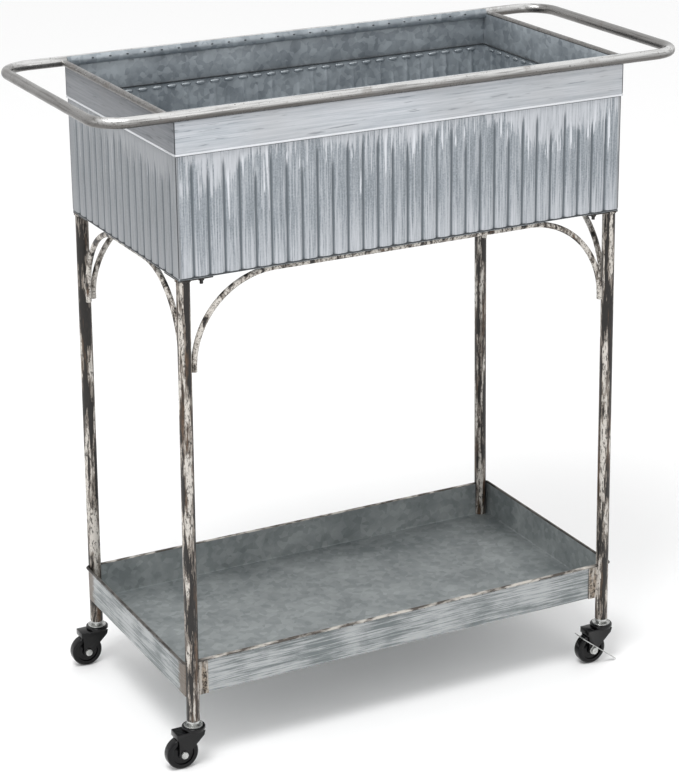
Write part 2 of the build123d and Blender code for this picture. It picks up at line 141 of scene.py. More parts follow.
def pick(piece, kind, test):
    """Opens the piece in edit mode with only the vertices, edges or faces that pass the test."""
    bpy.ops.object.select_all(action="DESELECT")
    piece.select_set(True)
    bpy.context.view_layer.objects.active = piece
    bpy.ops.object.mode_set(mode="EDIT")
    bpy.context.tool_settings.mesh_select_mode = [kind == k for k in ("VERT", "EDGE", "FACE")]
    bpy.ops.mesh.select_all(action="DESELECT")
    shape = bmesh.from_edit_mesh(piece.data)
    parts = {"VERT": shape.verts, "EDGE": shape.edges, "FACE": shape.faces}[kind]
    for part in parts:
        part.select_set(bool(test(part)))
    shape.select_flush_mode()
    bmesh.update_edit_mesh(piece.data)


def close():
    """Leaves edit mode."""
    bpy.ops.object.mode_set(mode="OBJECT")


def modify(piece, kind, **settings):
    """Adds a modifier to the piece and applies it."""
    modifier = piece.modifiers.new(kind.lower(), kind)
    for name, value in settings.items():
        setattr(modifier, name, value)
    bpy.ops.object.select_all(action="DESELECT")
    piece.select_set(True)
    bpy.context.view_layer.objects.active = piece
    bpy.ops.object.modifier_apply(modifier=modifier.name)


def smooth(piece, degrees=35):
    """Smooth shading everywhere but at sharp corners."""
    bpy.ops.object.select_all(action="DESELECT")
    piece.select_set(True)
    bpy.context.view_layer.objects.active = piece
    bpy.ops.object.shade_smooth_by_angle(angle=math.radians(degrees))


def thicken_line(piece, radius, ring):
    """Turns a mesh of edges only into a round bar along them."""
    bpy.ops.object.select_all(action="DESELECT")
    piece.select_set(True)
    bpy.context.view_layer.objects.active = piece
    bpy.ops.object.convert(target="CURVE")
    piece.data.bevel_depth = radius
    piece.data.bevel_resolution = ring
    piece.data.use_fill_caps = True
    bpy.ops.object.convert(target="MESH")
    pick(piece, "VERT", lambda v: True)
    bpy.ops.mesh.remove_doubles(threshold=0.01 * MM)
    bpy.ops.mesh.normals_make_consistent(inside=False)
    close()
    smooth(piece, 40)


def bent_loop(name, length, depth, height, bend, radius, ring=6):
    """A closed rectangle of round bar lying flat, with bent corners."""
    bpy.ops.mesh.primitive_plane_add(size=1, location=(0, 0, height))
    piece = start_piece(name)
    piece.scale = (length, depth, 1)
    settle(piece)
    pick(piece, "VERT", lambda v: True)
    bpy.ops.mesh.bevel(offset=bend, offset_type="OFFSET", affect="VERTICES", segments=16)
    bpy.ops.mesh.delete(type="ONLY_FACE")
    close()
    thicken_line(piece, radius, ring)
    return piece


def node(tree, kind, inputs=None, **settings):
    """Adds a shader node with its settings, and sets or links its inputs."""
    made = tree.nodes.new("ShaderNode" + kind)
    for name, value in settings.items():
        setattr(made, name, value)
    for key, value in (inputs or {}).items():
        if isinstance(value, bpy.types.NodeSocket):
            tree.links.new(value, made.inputs[key])
        else:
            made.inputs[key].default_value = value
    return made


def start_material(name, metallic, roughness):
    """A new material with its tree, its shader and its Object coordinates."""
    material = bpy.data.materials.new(name)
    material.use_nodes = True
    tree = material.node_tree
    shader = tree.nodes["Principled BSDF"]
    shader.inputs["Metallic"].default_value = metallic
    shader.inputs["Roughness"].default_value = roughness
    return material, tree, shader, node(tree, "TexCoord").outputs["Object"]


def per_mm(size):
    """Pattern scale that gives features of this size in millimetres."""
    return 1 / (size * MM)


# Mild steel: dark draw lines along the tube about 3 mm apart, pits 2.5 mm apart and brown
# marks 40 mm long where hands have been.
rail_steel, tree, shader, place = start_material("mild_steel_painted_highlight", 0.9, 0.28)
x_y_z = node(tree, "SeparateXYZ", {0: place})
reach = node(tree, "Math", {0: x_y_z.outputs["X"]}, operation="ABSOLUTE")
at_end = node(tree, "Math", {0: reach.outputs[0], 1: RAIL_LENGTH / 2 - RAIL_BEND / 2},
              operation="GREATER_THAN")
along_x = node(tree, "Mapping", {"Vector": place, "Scale": (0.03, 1, 1)})
along_y = node(tree, "Mapping", {"Vector": place, "Scale": (1, 0.03, 1)})
along = node(tree, "Mix", {0: at_end.outputs[0], 4: along_x.outputs[0], 5: along_y.outputs[0]},
             data_type="VECTOR")
draw_lines = node(tree, "TexNoise", {"Vector": along.outputs[1], "Scale": per_mm(3.2), "Detail": 5,
                                      "Roughness": 0.65})
draw_mask = node(tree, "MapRange", {0: draw_lines.outputs[0], 1: 0.5, 2: 0.62})
marks = node(tree, "TexNoise", {"Vector": place, "Scale": per_mm(40), "Detail": 6, "Roughness": 0.7})
mark_mask = node(tree, "MapRange", {0: marks.outputs[0], 1: 0.56, 2: 0.76, 3: 0, 4: 0.7})
pits = node(tree, "TexNoise", {"Vector": place, "Scale": per_mm(2.5), "Detail": 2})
pit_mask = node(tree, "MapRange", {0: pits.outputs[0], 1: 0.66, 2: 0.74})
# Painted highlight and painted shade: the long sides' top is painted bright, and the underside and
# the cross bars are painted dark.
highlight_height_share = node(tree, "MapRange", {0: x_y_z.outputs["Z"], 1: RAIL_HEIGHT - 0.2 * RAIL_RADIUS,
                                     2: RAIL_HEIGHT + 0.6 * RAIL_RADIUS})
reach_across = node(tree, "Math", {0: x_y_z.outputs["Y"]}, operation="ABSOLUTE")
highlight_side_share = node(tree, "MapRange", {0: reach_across.outputs[0], 1: (RAIL_DEPTH - RAIL_BEND) / 2,
                                   2: RAIL_DEPTH / 2 - RAIL_RADIUS, 3: 0.2, 4: 1})
wear_and_highlight_share = node(tree, "Math", {0: highlight_height_share.outputs[0], 1: highlight_side_share.outputs[0]},
                 operation="MULTIPLY")
painted_highlight_tone = node(tree, "Mix", {0: wear_and_highlight_share.outputs[0], 6: linear("#696765"), 7: linear("#D8D8D7")},
              data_type="RGBA")
draw_share = node(tree, "Math", {0: draw_mask.outputs[0], 1: 0.55}, operation="MULTIPLY")
steel_tone = node(tree, "Mix", {0: draw_share.outputs[0], 6: painted_highlight_tone.outputs[2],
                                7: linear("#45423F")}, data_type="RGBA")
steel_marks = node(tree, "Mix", {0: mark_mask.outputs[0], 6: steel_tone.outputs[2],
                                 7: linear("#6B625A")}, data_type="RGBA")
steel_pits = node(tree, "Mix", {0: pit_mask.outputs[0], 6: steel_marks.outputs[2],
                                7: linear("#3A332E")}, data_type="RGBA")
tree.links.new(steel_pits.outputs[2], shader.inputs["Base Color"])
steel_gloss = node(tree, "MapRange", {0: marks.outputs[0], 1: 0.35, 2: 0.7, 3: 0.2, 4: 0.42})
tree.links.new(steel_gloss.outputs[0], shader.inputs["Roughness"])
steel_bump = node(tree, "Bump", {"Height": draw_lines.outputs[0], "Strength": 0.35,
                                 "Distance": 0.15 * MM})
tree.links.new(steel_bump.outputs[0], shader.inputs["Normal"])

handle_rail = bent_loop("handle_rail", RAIL_LENGTH, RAIL_DEPTH, RAIL_HEIGHT, RAIL_BEND, RAIL_RADIUS, 8)
handle_rail.data.materials.append(rail_steel)
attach(handle_rail, "frame")
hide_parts("handle_rail_left", "handle_rail_right")

# ---- Planter box: fluted walls ----------------------------------------------------------------
# Four walls of 0.8 mm galvanised sheet, pressed with upright grooves 23 mm apart that run out
# below the collar. Outside they are whitewashed by hand, with runs of paint that dried on the
# way down over the bare zinc. Inside they are left galvanised.
FRONT_LOW, FRONT_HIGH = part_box("fluted_wall_front")
WALL_HALF_LENGTH = FRONT_HIGH.x
WALL_HALF_DEPTH = -FRONT_LOW.y
WALL_BOTTOM = FRONT_LOW.z
WALL_TOP = FRONT_HIGH.z
SHEET = 0.8 * MM
GROOVE_DEPTH = 3 * MM
LONG_FLUTES = 30
SHORT_FLUTES = 16
COLUMNS = 12  # mesh columns to one flute
ROWS = 14

# Galvanised zinc: pale crystals about 9 mm across in slightly different greys, dull and smooth.
galvanised, tree, shader, place = start_material("galvanised_zinc", 0.45, 0.42)
warp = node(tree, "TexNoise", {"Vector": place, "Scale": per_mm(14), "Detail": 2})
warped = node(tree, "VectorMath", {0: warp.outputs["Color"], 1: (0.008, 0.008, 0.008)},
              operation="MULTIPLY")
crystal_place = node(tree, "VectorMath", {0: place, 1: warped.outputs[0]}, operation="ADD")
crystals = node(tree, "TexVoronoi", {"Vector": crystal_place.outputs[0], "Scale": per_mm(9)})
crystal_tone = node(tree, "SeparateXYZ", {0: crystals.outputs["Color"]})
clouds = node(tree, "TexNoise", {"Vector": place, "Scale": per_mm(60), "Detail": 5, "Roughness": 0.6})
spangle = node(tree, "Math", {0: crystal_tone.outputs[0], 1: 0.3, 2: clouds.outputs[0]},
               operation="MULTIPLY_ADD")
spangle_share = node(tree, "MapRange", {0: spangle.outputs[0], 1: 0.4, 2: 0.9})
zinc_tone = node(tree, "Mix", {0: spangle_share.outputs[0], 6: linear("#798086"), 7: linear("#A9B0B5")},
                 data_type="RGBA")
tree.links.new(zinc_tone.outputs[2], shader.inputs["Base Color"])
zinc_gloss = node(tree, "MapRange", {0: crystal_tone.outputs[1], 3: 0.36, 4: 0.55})
tree.links.new(zinc_gloss.outputs[0], shader.inputs["Roughness"])
zinc_bump = node(tree, "Bump", {"Height": spangle.outputs[0], "Strength": 0.12, "Distance": 0.3 * MM})
tree.links.new(zinc_bump.outputs[0], shader.inputs["Normal"])

# Whitewash on the fluted walls: matt lime paint brushed downward, 1 mm brush lines, solid at the
# top with a ragged lower edge and thick white runs, thin over speckled zinc in the middle and
# heavier again at the bottom. The grooves are painted dark as painted shade, and the two end walls
# are painted greyer as painted shade.
# Depths are measured down from the walls' top, and the coat's edge wanders to each side of them.
COAT_GONE = 36 * MM
COAT_SOLID = 22 * MM
RUN_GONE = 94 * MM
RUN_WHOLE = 92 * MM
RUN_STARTS = 30 * MM
RUN_FULL = 60 * MM
wall_paint, tree, shader, place = start_material("whitewashed_fluted_zinc", 0.05, 0.55)
x_y_z = node(tree, "SeparateXYZ", {0: place})
height = x_y_z.outputs["Z"]
brush_place = node(tree, "Mapping", {"Vector": place, "Scale": (1, 1, 0.025)})
brush = node(tree, "TexNoise", {"Vector": brush_place.outputs[0], "Scale": per_mm(1.9), "Detail": 5,
                                "Roughness": 0.7})
run_place = node(tree, "Mapping", {"Vector": place, "Scale": (1, 1, 0.06)})
ragged = node(tree, "TexNoise", {"Vector": run_place.outputs[0], "Scale": per_mm(4), "Detail": 5,
                                 "Roughness": 0.75})
broad = node(tree, "TexNoise", {"Vector": place, "Scale": per_mm(120), "Detail": 2})
coat_end = node(tree, "Math", {0: ragged.outputs[0], 1: 0.14, 2: height}, operation="MULTIPLY_ADD")
coat_lift = node(tree, "Math", {0: broad.outputs[0], 1: -0.2, 2: coat_end.outputs[0]},
                 operation="MULTIPLY_ADD")
coat_edge = node(tree, "Math", {0: brush.outputs[0], 1: 0.06, 2: coat_lift.outputs[0]},
                 operation="MULTIPLY_ADD")
coat_top = node(tree, "MapRange", {0: coat_edge.outputs[0], 1: WALL_TOP - COAT_GONE,
                                    2: WALL_TOP - COAT_SOLID})
reach_x = node(tree, "Math", {0: x_y_z.outputs["X"]}, operation="ABSOLUTE")
at_end = node(tree, "Math", {0: reach_x.outputs[0], 1: WALL_HALF_LENGTH - 4 * MM},
              operation="GREATER_THAN")
foot_coat = node(tree, "MapRange", {0: height, 1: WALL_BOTTOM + 0.075, 2: WALL_BOTTOM + 0.01,
                                    3: 0.15, 4: 0.75})
coat = node(tree, "Math", {0: coat_top.outputs[0], 1: foot_coat.outputs[0]}, operation="MAXIMUM")
dry_brush = node(tree, "MapRange", {0: brush.outputs[0], 1: 0.38, 2: 0.62, 3: -0.55, 4: 0.35})
coat_streaked = node(tree, "Math", {0: coat.outputs[0], 1: dry_brush.outputs[0]}, operation="ADD",
                     use_clamp=True)
speckle = node(tree, "TexNoise", {"Vector": place, "Scale": per_mm(2.6), "Detail": 4,
                                  "Roughness": 0.7})
speckled = node(tree, "Math", {0: speckle.outputs[0], 1: brush.outputs[0]}, operation="ADD")
speckle_share = node(tree, "MapRange", {0: speckled.outputs[0], 1: 0.75, 2: 1.25})
zinc_shade = node(tree, "Mix", {0: speckle_share.outputs[0], 6: linear("#676E74"),
                                7: linear("#9AA0A6")}, data_type="RGBA")
wash = node(tree, "Mix", {0: coat_streaked.outputs[0], 6: zinc_shade.outputs[2],
                          7: linear("#B3B6BB")}, data_type="RGBA")
# A run is a narrow column under 3.6 mm wide that ends below the coat's edge.
drip_place = node(tree, "Mapping", {"Vector": place, "Scale": (1, 1, 0.03)})
drip_columns = node(tree, "TexNoise", {"Vector": drip_place.outputs[0], "Scale": per_mm(3.6),
                                       "Detail": 0})
drip_column = node(tree, "MapRange", {0: drip_columns.outputs[0], 1: 0.67, 2: 0.7})
drip_end = node(tree, "MapRange", {0: coat_lift.outputs[0], 1: WALL_TOP - RUN_GONE,
                                   2: WALL_TOP - RUN_WHOLE})
drip_start = node(tree, "MapRange", {0: coat_lift.outputs[0], 1: WALL_TOP - RUN_STARTS,
                                     2: WALL_TOP - RUN_FULL})
drip_span = node(tree, "Math", {0: drip_end.outputs[0], 1: drip_start.outputs[0]}, operation="MULTIPLY")
drip = node(tree, "Math", {0: drip_column.outputs[0], 1: drip_span.outputs[0]}, operation="MULTIPLY")
wash_drips = node(tree, "Mix", {0: drip.outputs[0], 6: wash.outputs[2], 7: linear("#C6C9CE")},
                  data_type="RGBA")
# How far the surface lies behind the crests, on whichever wall it is.
reach_y = node(tree, "Math", {0: x_y_z.outputs["Y"]}, operation="ABSOLUTE")
inset_x = node(tree, "Math", {0: WALL_HALF_LENGTH, 1: reach_x.outputs[0]}, operation="SUBTRACT")
inset_y = node(tree, "Math", {0: WALL_HALF_DEPTH, 1: reach_y.outputs[0]}, operation="SUBTRACT")
inset = node(tree, "Math", {0: inset_x.outputs[0], 1: inset_y.outputs[0]}, operation="MINIMUM")
# Painted shade: the deeper the surface lies in a groove, the darker its colour.
in_groove = node(tree, "MapRange", {0: inset.outputs[0], 1: 1.1 * MM, 2: 2.3 * MM, 3: 0, 4: 0.95})
# Painted shade: the two end walls' colour is mixed darker, standing for the dimmer light on the ends.
end_shade_share = node(tree, "Math", {0: at_end.outputs[0], 1: 0.6}, operation="MULTIPLY")
end_painted_shade = node(tree, "Mix", {0: end_shade_share.outputs[0], 6: wash_drips.outputs[2],
                              7: linear("#6E7072")}, data_type="RGBA")
groove_painted_shade = node(tree, "Mix", {0: in_groove.outputs[0], 6: end_painted_shade.outputs[2],
                                 7: linear("#50585E")}, data_type="RGBA")
tree.links.new(groove_painted_shade.outputs[2], shader.inputs["Base Color"])
wash_gloss = node(tree, "MapRange", {0: coat_streaked.outputs[0], 3: 0.42, 4: 0.62})
tree.links.new(wash_gloss.outputs[0], shader.inputs["Roughness"])
wash_height = node(tree, "Math", {0: brush.outputs[0], 1: 0.5, 2: drip.outputs[0]},
                   operation="MULTIPLY_ADD")
wash_bump = node(tree, "Bump", {"Height": wash_height.outputs[0], "Strength": 0.3,
                                "Distance": 0.4 * MM})
tree.links.new(wash_bump.outputs[0], shader.inputs["Normal"])

chance = random.Random(7)


def fluted_wall(name, half_run, crest, turn, flutes):
    """A wall facing -Y with its grooves pressed in, then turned to its side of the box."""
    bpy.ops.mesh.primitive_grid_add(
        x_subdivisions=flutes * COLUMNS, y_subdivisions=ROWS, size=1,
        location=(0, -crest, (WALL_TOP + WALL_BOTTOM) / 2), rotation=(math.radians(90), 0, 0),
    )
    piece = start_piece(name)
    piece.scale = (2 * half_run, WALL_TOP - WALL_BOTTOM, 1)
    settle(piece)
    pitch = 2 * half_run / flutes
    column = pitch / COLUMNS
    row = (WALL_TOP - WALL_BOTTOM) / ROWS
    tops = [WALL_TOP - row * chance.choice((1, 1, 2, 2, 3)) for _ in range(flutes + 1)]
    presses = ((0.6, 0.5 * GROOVE_DEPTH, 0), (1.6, 0.3 * GROOVE_DEPTH, 1),
               (2.6, 0.2 * GROOVE_DEPTH, 1))
    for columns, depth, rows_down in presses:
        def in_press(v):
            groove = round((v.co.x + half_run) / pitch)
            off = abs(v.co.x + half_run - groove * pitch)
            inside = 0 < groove < flutes and off < columns * column
            return inside and v.co.z < tops[groove] - rows_down * row + row / 2
        pick(piece, "VERT", in_press)
        bpy.ops.transform.translate(value=(0, depth, 0))
        close()
    piece.data.materials.append(wall_paint)
    piece.data.materials.append(galvanised)
    modify(piece, "SUBSURF", levels=1, render_levels=1, boundary_smooth="PRESERVE_CORNERS")
    modify(piece, "SOLIDIFY", thickness=SHEET, offset=-1, material_offset=1, material_offset_rim=1)
    piece.rotation_euler = (0, 0, turn)
    settle(piece)
    smooth(piece, 60)
    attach(piece, "frame")
    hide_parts(name)


for wall, turn in (("front", 0), ("back", math.pi)):
    fluted_wall(f"fluted_wall_{wall}", WALL_HALF_LENGTH, WALL_HALF_DEPTH, turn, LONG_FLUTES)
for wall, turn in (("right", math.pi / 2), ("left", -math.pi / 2)):
    fluted_wall(f"fluted_wall_{wall}", WALL_HALF_DEPTH - SHEET, WALL_HALF_LENGTH, turn, SHORT_FLUTES)

# ---- Planter box: collar, bottom edge and floor -----------------------------------------------
# A flat 1 mm sheet collar covers the walls' top, with a bead along its lower edge. It is
# whitewashed with a dry brush along its length. The two ends finish in a hem rolled outward, and
# the long sides are folded over the rail and crimped. A dark folded edge closes the walls' foot.
COLLAR_LOW, COLLAR_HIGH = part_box("collar_front")
END_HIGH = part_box("collar_right")[1]
COLLAR_SHEET = 1 * MM
BEAD_RADIUS = 1.4 * MM
HEM_RADIUS = 4.8 * MM
CRIMP_PITCH = 27 * MM

# Dry-brushed whitewash: matt, with brush lines 1.2 mm apart along the sheet, hollows where the
# grey zinc shows and broad warmer patches.
collar_paint, tree, shader, place = start_material("dry_brushed_whitewash", 0.1, 0.5)
level = node(tree, "Mapping", {"Vector": place, "Scale": (0.02, 0.02, 1)})
lines = node(tree, "TexNoise", {"Vector": level.outputs[0], "Scale": per_mm(2.4), "Detail": 5,
                                "Roughness": 0.7, "Distortion": 0.3})
short_level = node(tree, "Mapping", {"Vector": place, "Scale": (0.07, 0.07, 1)})
gaps = node(tree, "TexNoise", {"Vector": short_level.outputs[0], "Scale": per_mm(3), "Detail": 4})
clouds = node(tree, "TexNoise", {"Vector": place, "Scale": per_mm(110), "Detail": 3})
line_share = node(tree, "MapRange", {0: lines.outputs[0], 1: 0.38, 2: 0.62})
gap_share = node(tree, "MapRange", {0: gaps.outputs[0], 1: 0.62, 2: 0.7, 3: 0, 4: 0.8})
cloud_share = node(tree, "MapRange", {0: clouds.outputs[0], 1: 0.4, 2: 0.7, 3: 0, 4: 0.55})
lime = node(tree, "Mix", {0: line_share.outputs[0], 6: linear("#9CA2A8"), 7: linear("#BBBEC3")},
            data_type="RGBA")
lime_gaps = node(tree, "Mix", {0: gap_share.outputs[0], 6: lime.outputs[2], 7: linear("#666D73")},
                 data_type="RGBA")
lime_clouds = node(tree, "Mix", {0: cloud_share.outputs[0], 6: lime_gaps.outputs[2],
                                 7: linear("#A6A7A9")}, data_type="RGBA")
collar_x = node(tree, "SeparateXYZ", {0: place})
collar_reach = node(tree, "Math", {0: collar_x.outputs[0]}, operation="ABSOLUTE")
# Painted shade: on the two end collars the colour is multiplied darker, standing for their dimmer
# light.
end_wall = node(tree, "Math", {0: collar_reach.outputs[0], 1: COLLAR_HIGH.x - 1.2 * MM},
                operation="GREATER_THAN")
collar_end_painted_shade = node(tree, "Mix", {0: end_wall.outputs[0], 6: lime_clouds.outputs[2],
                                 7: linear("#ADADAE")}, data_type="RGBA", blend_type="MULTIPLY")
# Painted highlight: the bead along the collar's lower edge is painted lighter.
bead_highlight_share = node(tree, "MapRange", {0: collar_x.outputs[2], 1: COLLAR_LOW.z + 3.4 * MM,
                                  2: COLLAR_LOW.z + 2.8 * MM, 3: 0, 4: 0.75})
bead_painted_highlight = node(tree, "Mix", {0: bead_highlight_share.outputs[0], 6: collar_end_painted_shade.outputs[2],
                               7: linear("#D3D5D8")}, data_type="RGBA")
tree.links.new(bead_painted_highlight.outputs[2], shader.inputs["Base Color"])
collar_bump = node(tree, "Bump", {"Height": lines.outputs[0], "Strength": 0.3, "Distance": 0.3 * MM})
tree.links.new(collar_bump.outputs[0], shader.inputs["Normal"])


def join(name, pieces):
    """Joins several objects into one piece."""
    bpy.ops.object.select_all(action="DESELECT")
    for piece in pieces:
        piece.select_set(True)
    bpy.context.view_layer.objects.active = pieces[0]
    bpy.ops.object.join()
    return start_piece(name)


def collar(name, half_run, outer, top, turn, hem_run):
    """A collar sheet facing -Y, beaded below, turned to its side of the box."""
    bpy.ops.mesh.primitive_cube_add(
        size=1, location=(0, -outer + COLLAR_SHEET / 2, (COLLAR_LOW.z + top) / 2)
    )
    sheet = start_piece(name)
    sheet.scale = (2 * half_run, COLLAR_SHEET, top - COLLAR_LOW.z)
    settle(sheet)
    modify(sheet, "BEVEL", width=0.3 * MM, segments=2)
    parts = [sheet]
    bars = [(BEAD_RADIUS, half_run, -outer + 0.1 * BEAD_RADIUS, COLLAR_LOW.z + BEAD_RADIUS)]
    if hem_run:
        bars.append((HEM_RADIUS, hem_run, -outer + COLLAR_SHEET - HEM_RADIUS, top))
    for radius, run, y, z in bars:
        bpy.ops.mesh.primitive_cylinder_add(
            vertices=24, radius=radius, depth=2 * run, location=(0, y, z),
            rotation=(0, math.radians(90), 0),
        )
        bar = start_piece(name + "_bar")
        settle(bar)
        pick(bar, "FACE", lambda f: abs(f.normal.x) > 0.9)
        bpy.ops.mesh.inset(thickness=0.3 * radius, depth=0)
        bpy.ops.mesh.inset(thickness=0.1 * radius, depth=-0.4 * radius)
        close()
        bar.data.materials.append(rail_steel if radius == HEM_RADIUS else collar_paint)
        parts.append(bar)
    sheet.data.materials.append(collar_paint)
    sheet.data.materials.append(galvanised)
    piece = join(name, parts)
    pick(piece, "FACE", lambda f: f.normal.y > 0.9 and f.calc_area() > 1e-3)
    piece.active_material_index = 1
    bpy.ops.object.material_slot_assign()
    close()
    piece.rotation_euler = (0, 0, turn)
    settle(piece)
    smooth(piece, 40)
    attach(piece, "frame")
    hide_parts(name)


for wall, turn in (("front", 0), ("back", math.pi)):
    collar(f"collar_{wall}", COLLAR_HIGH.x, -COLLAR_LOW.y, COLLAR_HIGH.z, turn, 0)
for wall, turn in (("right", math.pi / 2), ("left", -math.pi / 2)):
    collar(f"collar_{wall}", -COLLAR_LOW.y - COLLAR_SHEET, COLLAR_HIGH.x, END_HIGH.z - HEM_RADIUS,
           turn, RAIL_DEPTH / 2 - RAIL_RADIUS)

# Dark, gritty at 1 mm: dirt and painted shade in the crimps, which are small punched dimples, and in
# the seams; it also serves as painted shadow under the collar's bead and along the walls' top inside.
dark_dirt_and_shade, tree, shader, place = start_material("dirt_and_painted_shade", 0.3, 0.6)
grit = node(tree, "TexNoise", {"Vector": place, "Scale": per_mm(1), "Detail": 3})
dirt_and_shade_tone = node(tree, "Mix", {0: grit.outputs[0], 6: linear("#16181A"), 7: linear("#4B4F52")},
                 data_type="RGBA")
tree.links.new(dirt_and_shade_tone.outputs[2], shader.inputs["Base Color"])


def row_of_pips(name, places, size):
    """Small flattened pips, one at each place, as one piece."""
    pips = []
    for spot in places:
        bpy.ops.mesh.primitive_uv_sphere_add(segments=8, ring_count=6, radius=1, location=spot)
        pip = bpy.context.object
        pip.scale = size
        pips.append(pip)
    piece = join(name, pips)
    settle(piece)
    bpy.ops.object.shade_smooth()
    return piece


# The long sheets' top is folded over the rail's inner side, from below it to near its top.
FOLD_GAP = 0.3 * MM
FOLD_SHEET = 0.6 * MM
fold_radius = RAIL_RADIUS + FOLD_GAP + FOLD_SHEET
for wall, side in (("front", -1), ("back", 1)):
    bpy.ops.mesh.primitive_cylinder_add(
        vertices=32, radius=fold_radius, depth=2 * COLLAR_HIGH.x - 2 * MM, end_fill_type="NOTHING",
        location=(0, side * RAIL_DEPTH / 2, RAIL_HEIGHT), rotation=(0, math.radians(90), 0),
    )
    fold = start_piece(f"rail_fold_{wall}")
    settle(fold)
    pick(fold, "FACE", lambda f: side * f.normal.y > -0.5)
    bpy.ops.mesh.delete(type="FACE")
    close()
    modify(fold, "SOLIDIFY", thickness=FOLD_SHEET, offset=-1)
    smooth(fold, 40)
    fold.data.materials.append(galvanised)
    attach(fold, "frame")

crimp_z = RAIL_HEIGHT + 2 * MM
crimp_count = int(2 * (WALL_HALF_LENGTH - 20 * MM) / CRIMP_PITCH)
crimp_places = [
    ((i - (crimp_count - 1) / 2) * CRIMP_PITCH, side * (RAIL_DEPTH / 2 - fold_radius), crimp_z)
    for side in (-1, 1) for i in range(crimp_count)
]
collar_crimps = row_of_pips("collar_crimps", crimp_places, (2 * MM, 0.7 * MM, 1 * MM))
collar_crimps.data.materials.append(dark_dirt_and_shade)
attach(collar_crimps, "frame")

# Where each groove starts, the press left a burnished scallop on the inside, under a dark line of
# painted shadow along the walls' top.
burnished, tree, shader, place = start_material("burnished_zinc", 0.6, 0.3)
rub = node(tree, "TexNoise", {"Vector": place, "Scale": per_mm(3), "Detail": 4})
rub_tone = node(tree, "Mix", {0: rub.outputs[0], 6: linear("#858C91"), 7: linear("#B4BABE")},
                data_type="RGBA")
tree.links.new(rub_tone.outputs[2], shader.inputs["Base Color"])
SCALLOP_Z = COLLAR_LOW.z - 1 * MM
SCALLOP_INSET = 0.9 * MM
inner_x = WALL_HALF_LENGTH - SHEET
inner_y = WALL_HALF_DEPTH - SHEET
long_pitch = 2 * WALL_HALF_LENGTH / LONG_FLUTES
short_pitch = 2 * inner_y / SHORT_FLUTES
long_scallops = [
    (-WALL_HALF_LENGTH + i * long_pitch, side * (inner_y - SCALLOP_INSET), SCALLOP_Z)
    for side in (-1, 1) for i in range(1, LONG_FLUTES)
]
short_scallops = [
    (side * (inner_x - SCALLOP_INSET), -inner_y + i * short_pitch, SCALLOP_Z)
    for side in (-1, 1) for i in range(1, SHORT_FLUTES)
]
for wall, spots, size in (
    ("long", long_scallops, (8 * MM, 1.4 * MM, 2.6 * MM)),
    ("short", short_scallops, (1.4 * MM, 8 * MM, 2.6 * MM)),
):
    scallops = row_of_pips(f"pressed_scallops_{wall}", spots, size)
    scallops.data.materials.append(burnished)
    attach(scallops, "frame")
inner_painted_shadow = bent_loop("inner_painted_shadow", 2 * inner_x - 1.6 * MM, 2 * inner_y - 1.6 * MM,
                       WALL_TOP, 1 * MM, 1.1 * MM, 3)
inner_painted_shadow.data.materials.append(dark_dirt_and_shade)
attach(inner_painted_shadow, "frame")

# A dark line of painted shadow under the collar's bead, and dark seams up the four corners of the
# collar and of the walls.
SEAM_RADIUS = 0.6 * MM
seam_and_shadow_lines = [bent_loop("bead_painted_shadow", 2 * WALL_HALF_LENGTH, 2 * WALL_HALF_DEPTH,
                   COLLAR_LOW.z - SEAM_RADIUS, 1 * MM, SEAM_RADIUS, 3)]
for corner_x, corner_y, low, high in (
    (COLLAR_HIGH.x, -COLLAR_LOW.y, COLLAR_LOW.z + 3 * BEAD_RADIUS, COLLAR_HIGH.z),
    (WALL_HALF_LENGTH, WALL_HALF_DEPTH, WALL_BOTTOM + 3 * MM, COLLAR_LOW.z),
):
    for side_x, side_y in ((-1, -1), (1, -1), (-1, 1), (1, 1)):
        bpy.ops.mesh.primitive_cylinder_add(
            vertices=12, radius=SEAM_RADIUS, depth=high - low,
            location=(side_x * (corner_x - SEAM_RADIUS / 2), side_y * (corner_y - SEAM_RADIUS / 2),
                      (low + high) / 2),
        )
        seam_and_shadow_lines.append(bpy.context.object)
seam_and_shadow_piece = join("box_seams_and_bead_shadow", seam_and_shadow_lines)
settle(seam_and_shadow_piece)
seam_and_shadow_piece.data.materials.clear()
seam_and_shadow_piece.data.materials.append(dark_dirt_and_shade)
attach(seam_and_shadow_piece, "frame")

bottom_edge = bent_loop("box_bottom_edge", 2 * WALL_HALF_LENGTH - 1.6 * MM,
                        2 * WALL_HALF_DEPTH - 1.6 * MM, WALL_BOTTOM + 0.4 * MM, 2 * MM, 1.3 * MM, 3)
bottom_edge.data.materials.append(dark_dirt_and_shade)
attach(bottom_edge, "frame")


def dress(names, material):
    """Gives frame nodes that keep their own shape a material."""
    for name in names:
        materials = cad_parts[name].data.materials
        materials.clear()
        materials.append(material)


dress(["planter_floor"], galvanised)

# ---- Legs, plates and braces ------------------------------------------------------------------
# Four legs of 19 mm steel tube lean slightly out along the cart. Each is welded under a square
# plate that a stud and nut hold to the floor. Bent 8.5 mm round bar braces arch under each edge.
# All were painted black, then rubbed back to chalky white, brown primer and bare steel.
CORNERS = {"front_left": (-1, -1), "front_right": (1, -1), "back_left": (-1, 1), "back_right": (1, 1)}
LEG_RADIUS = 9.5 * MM


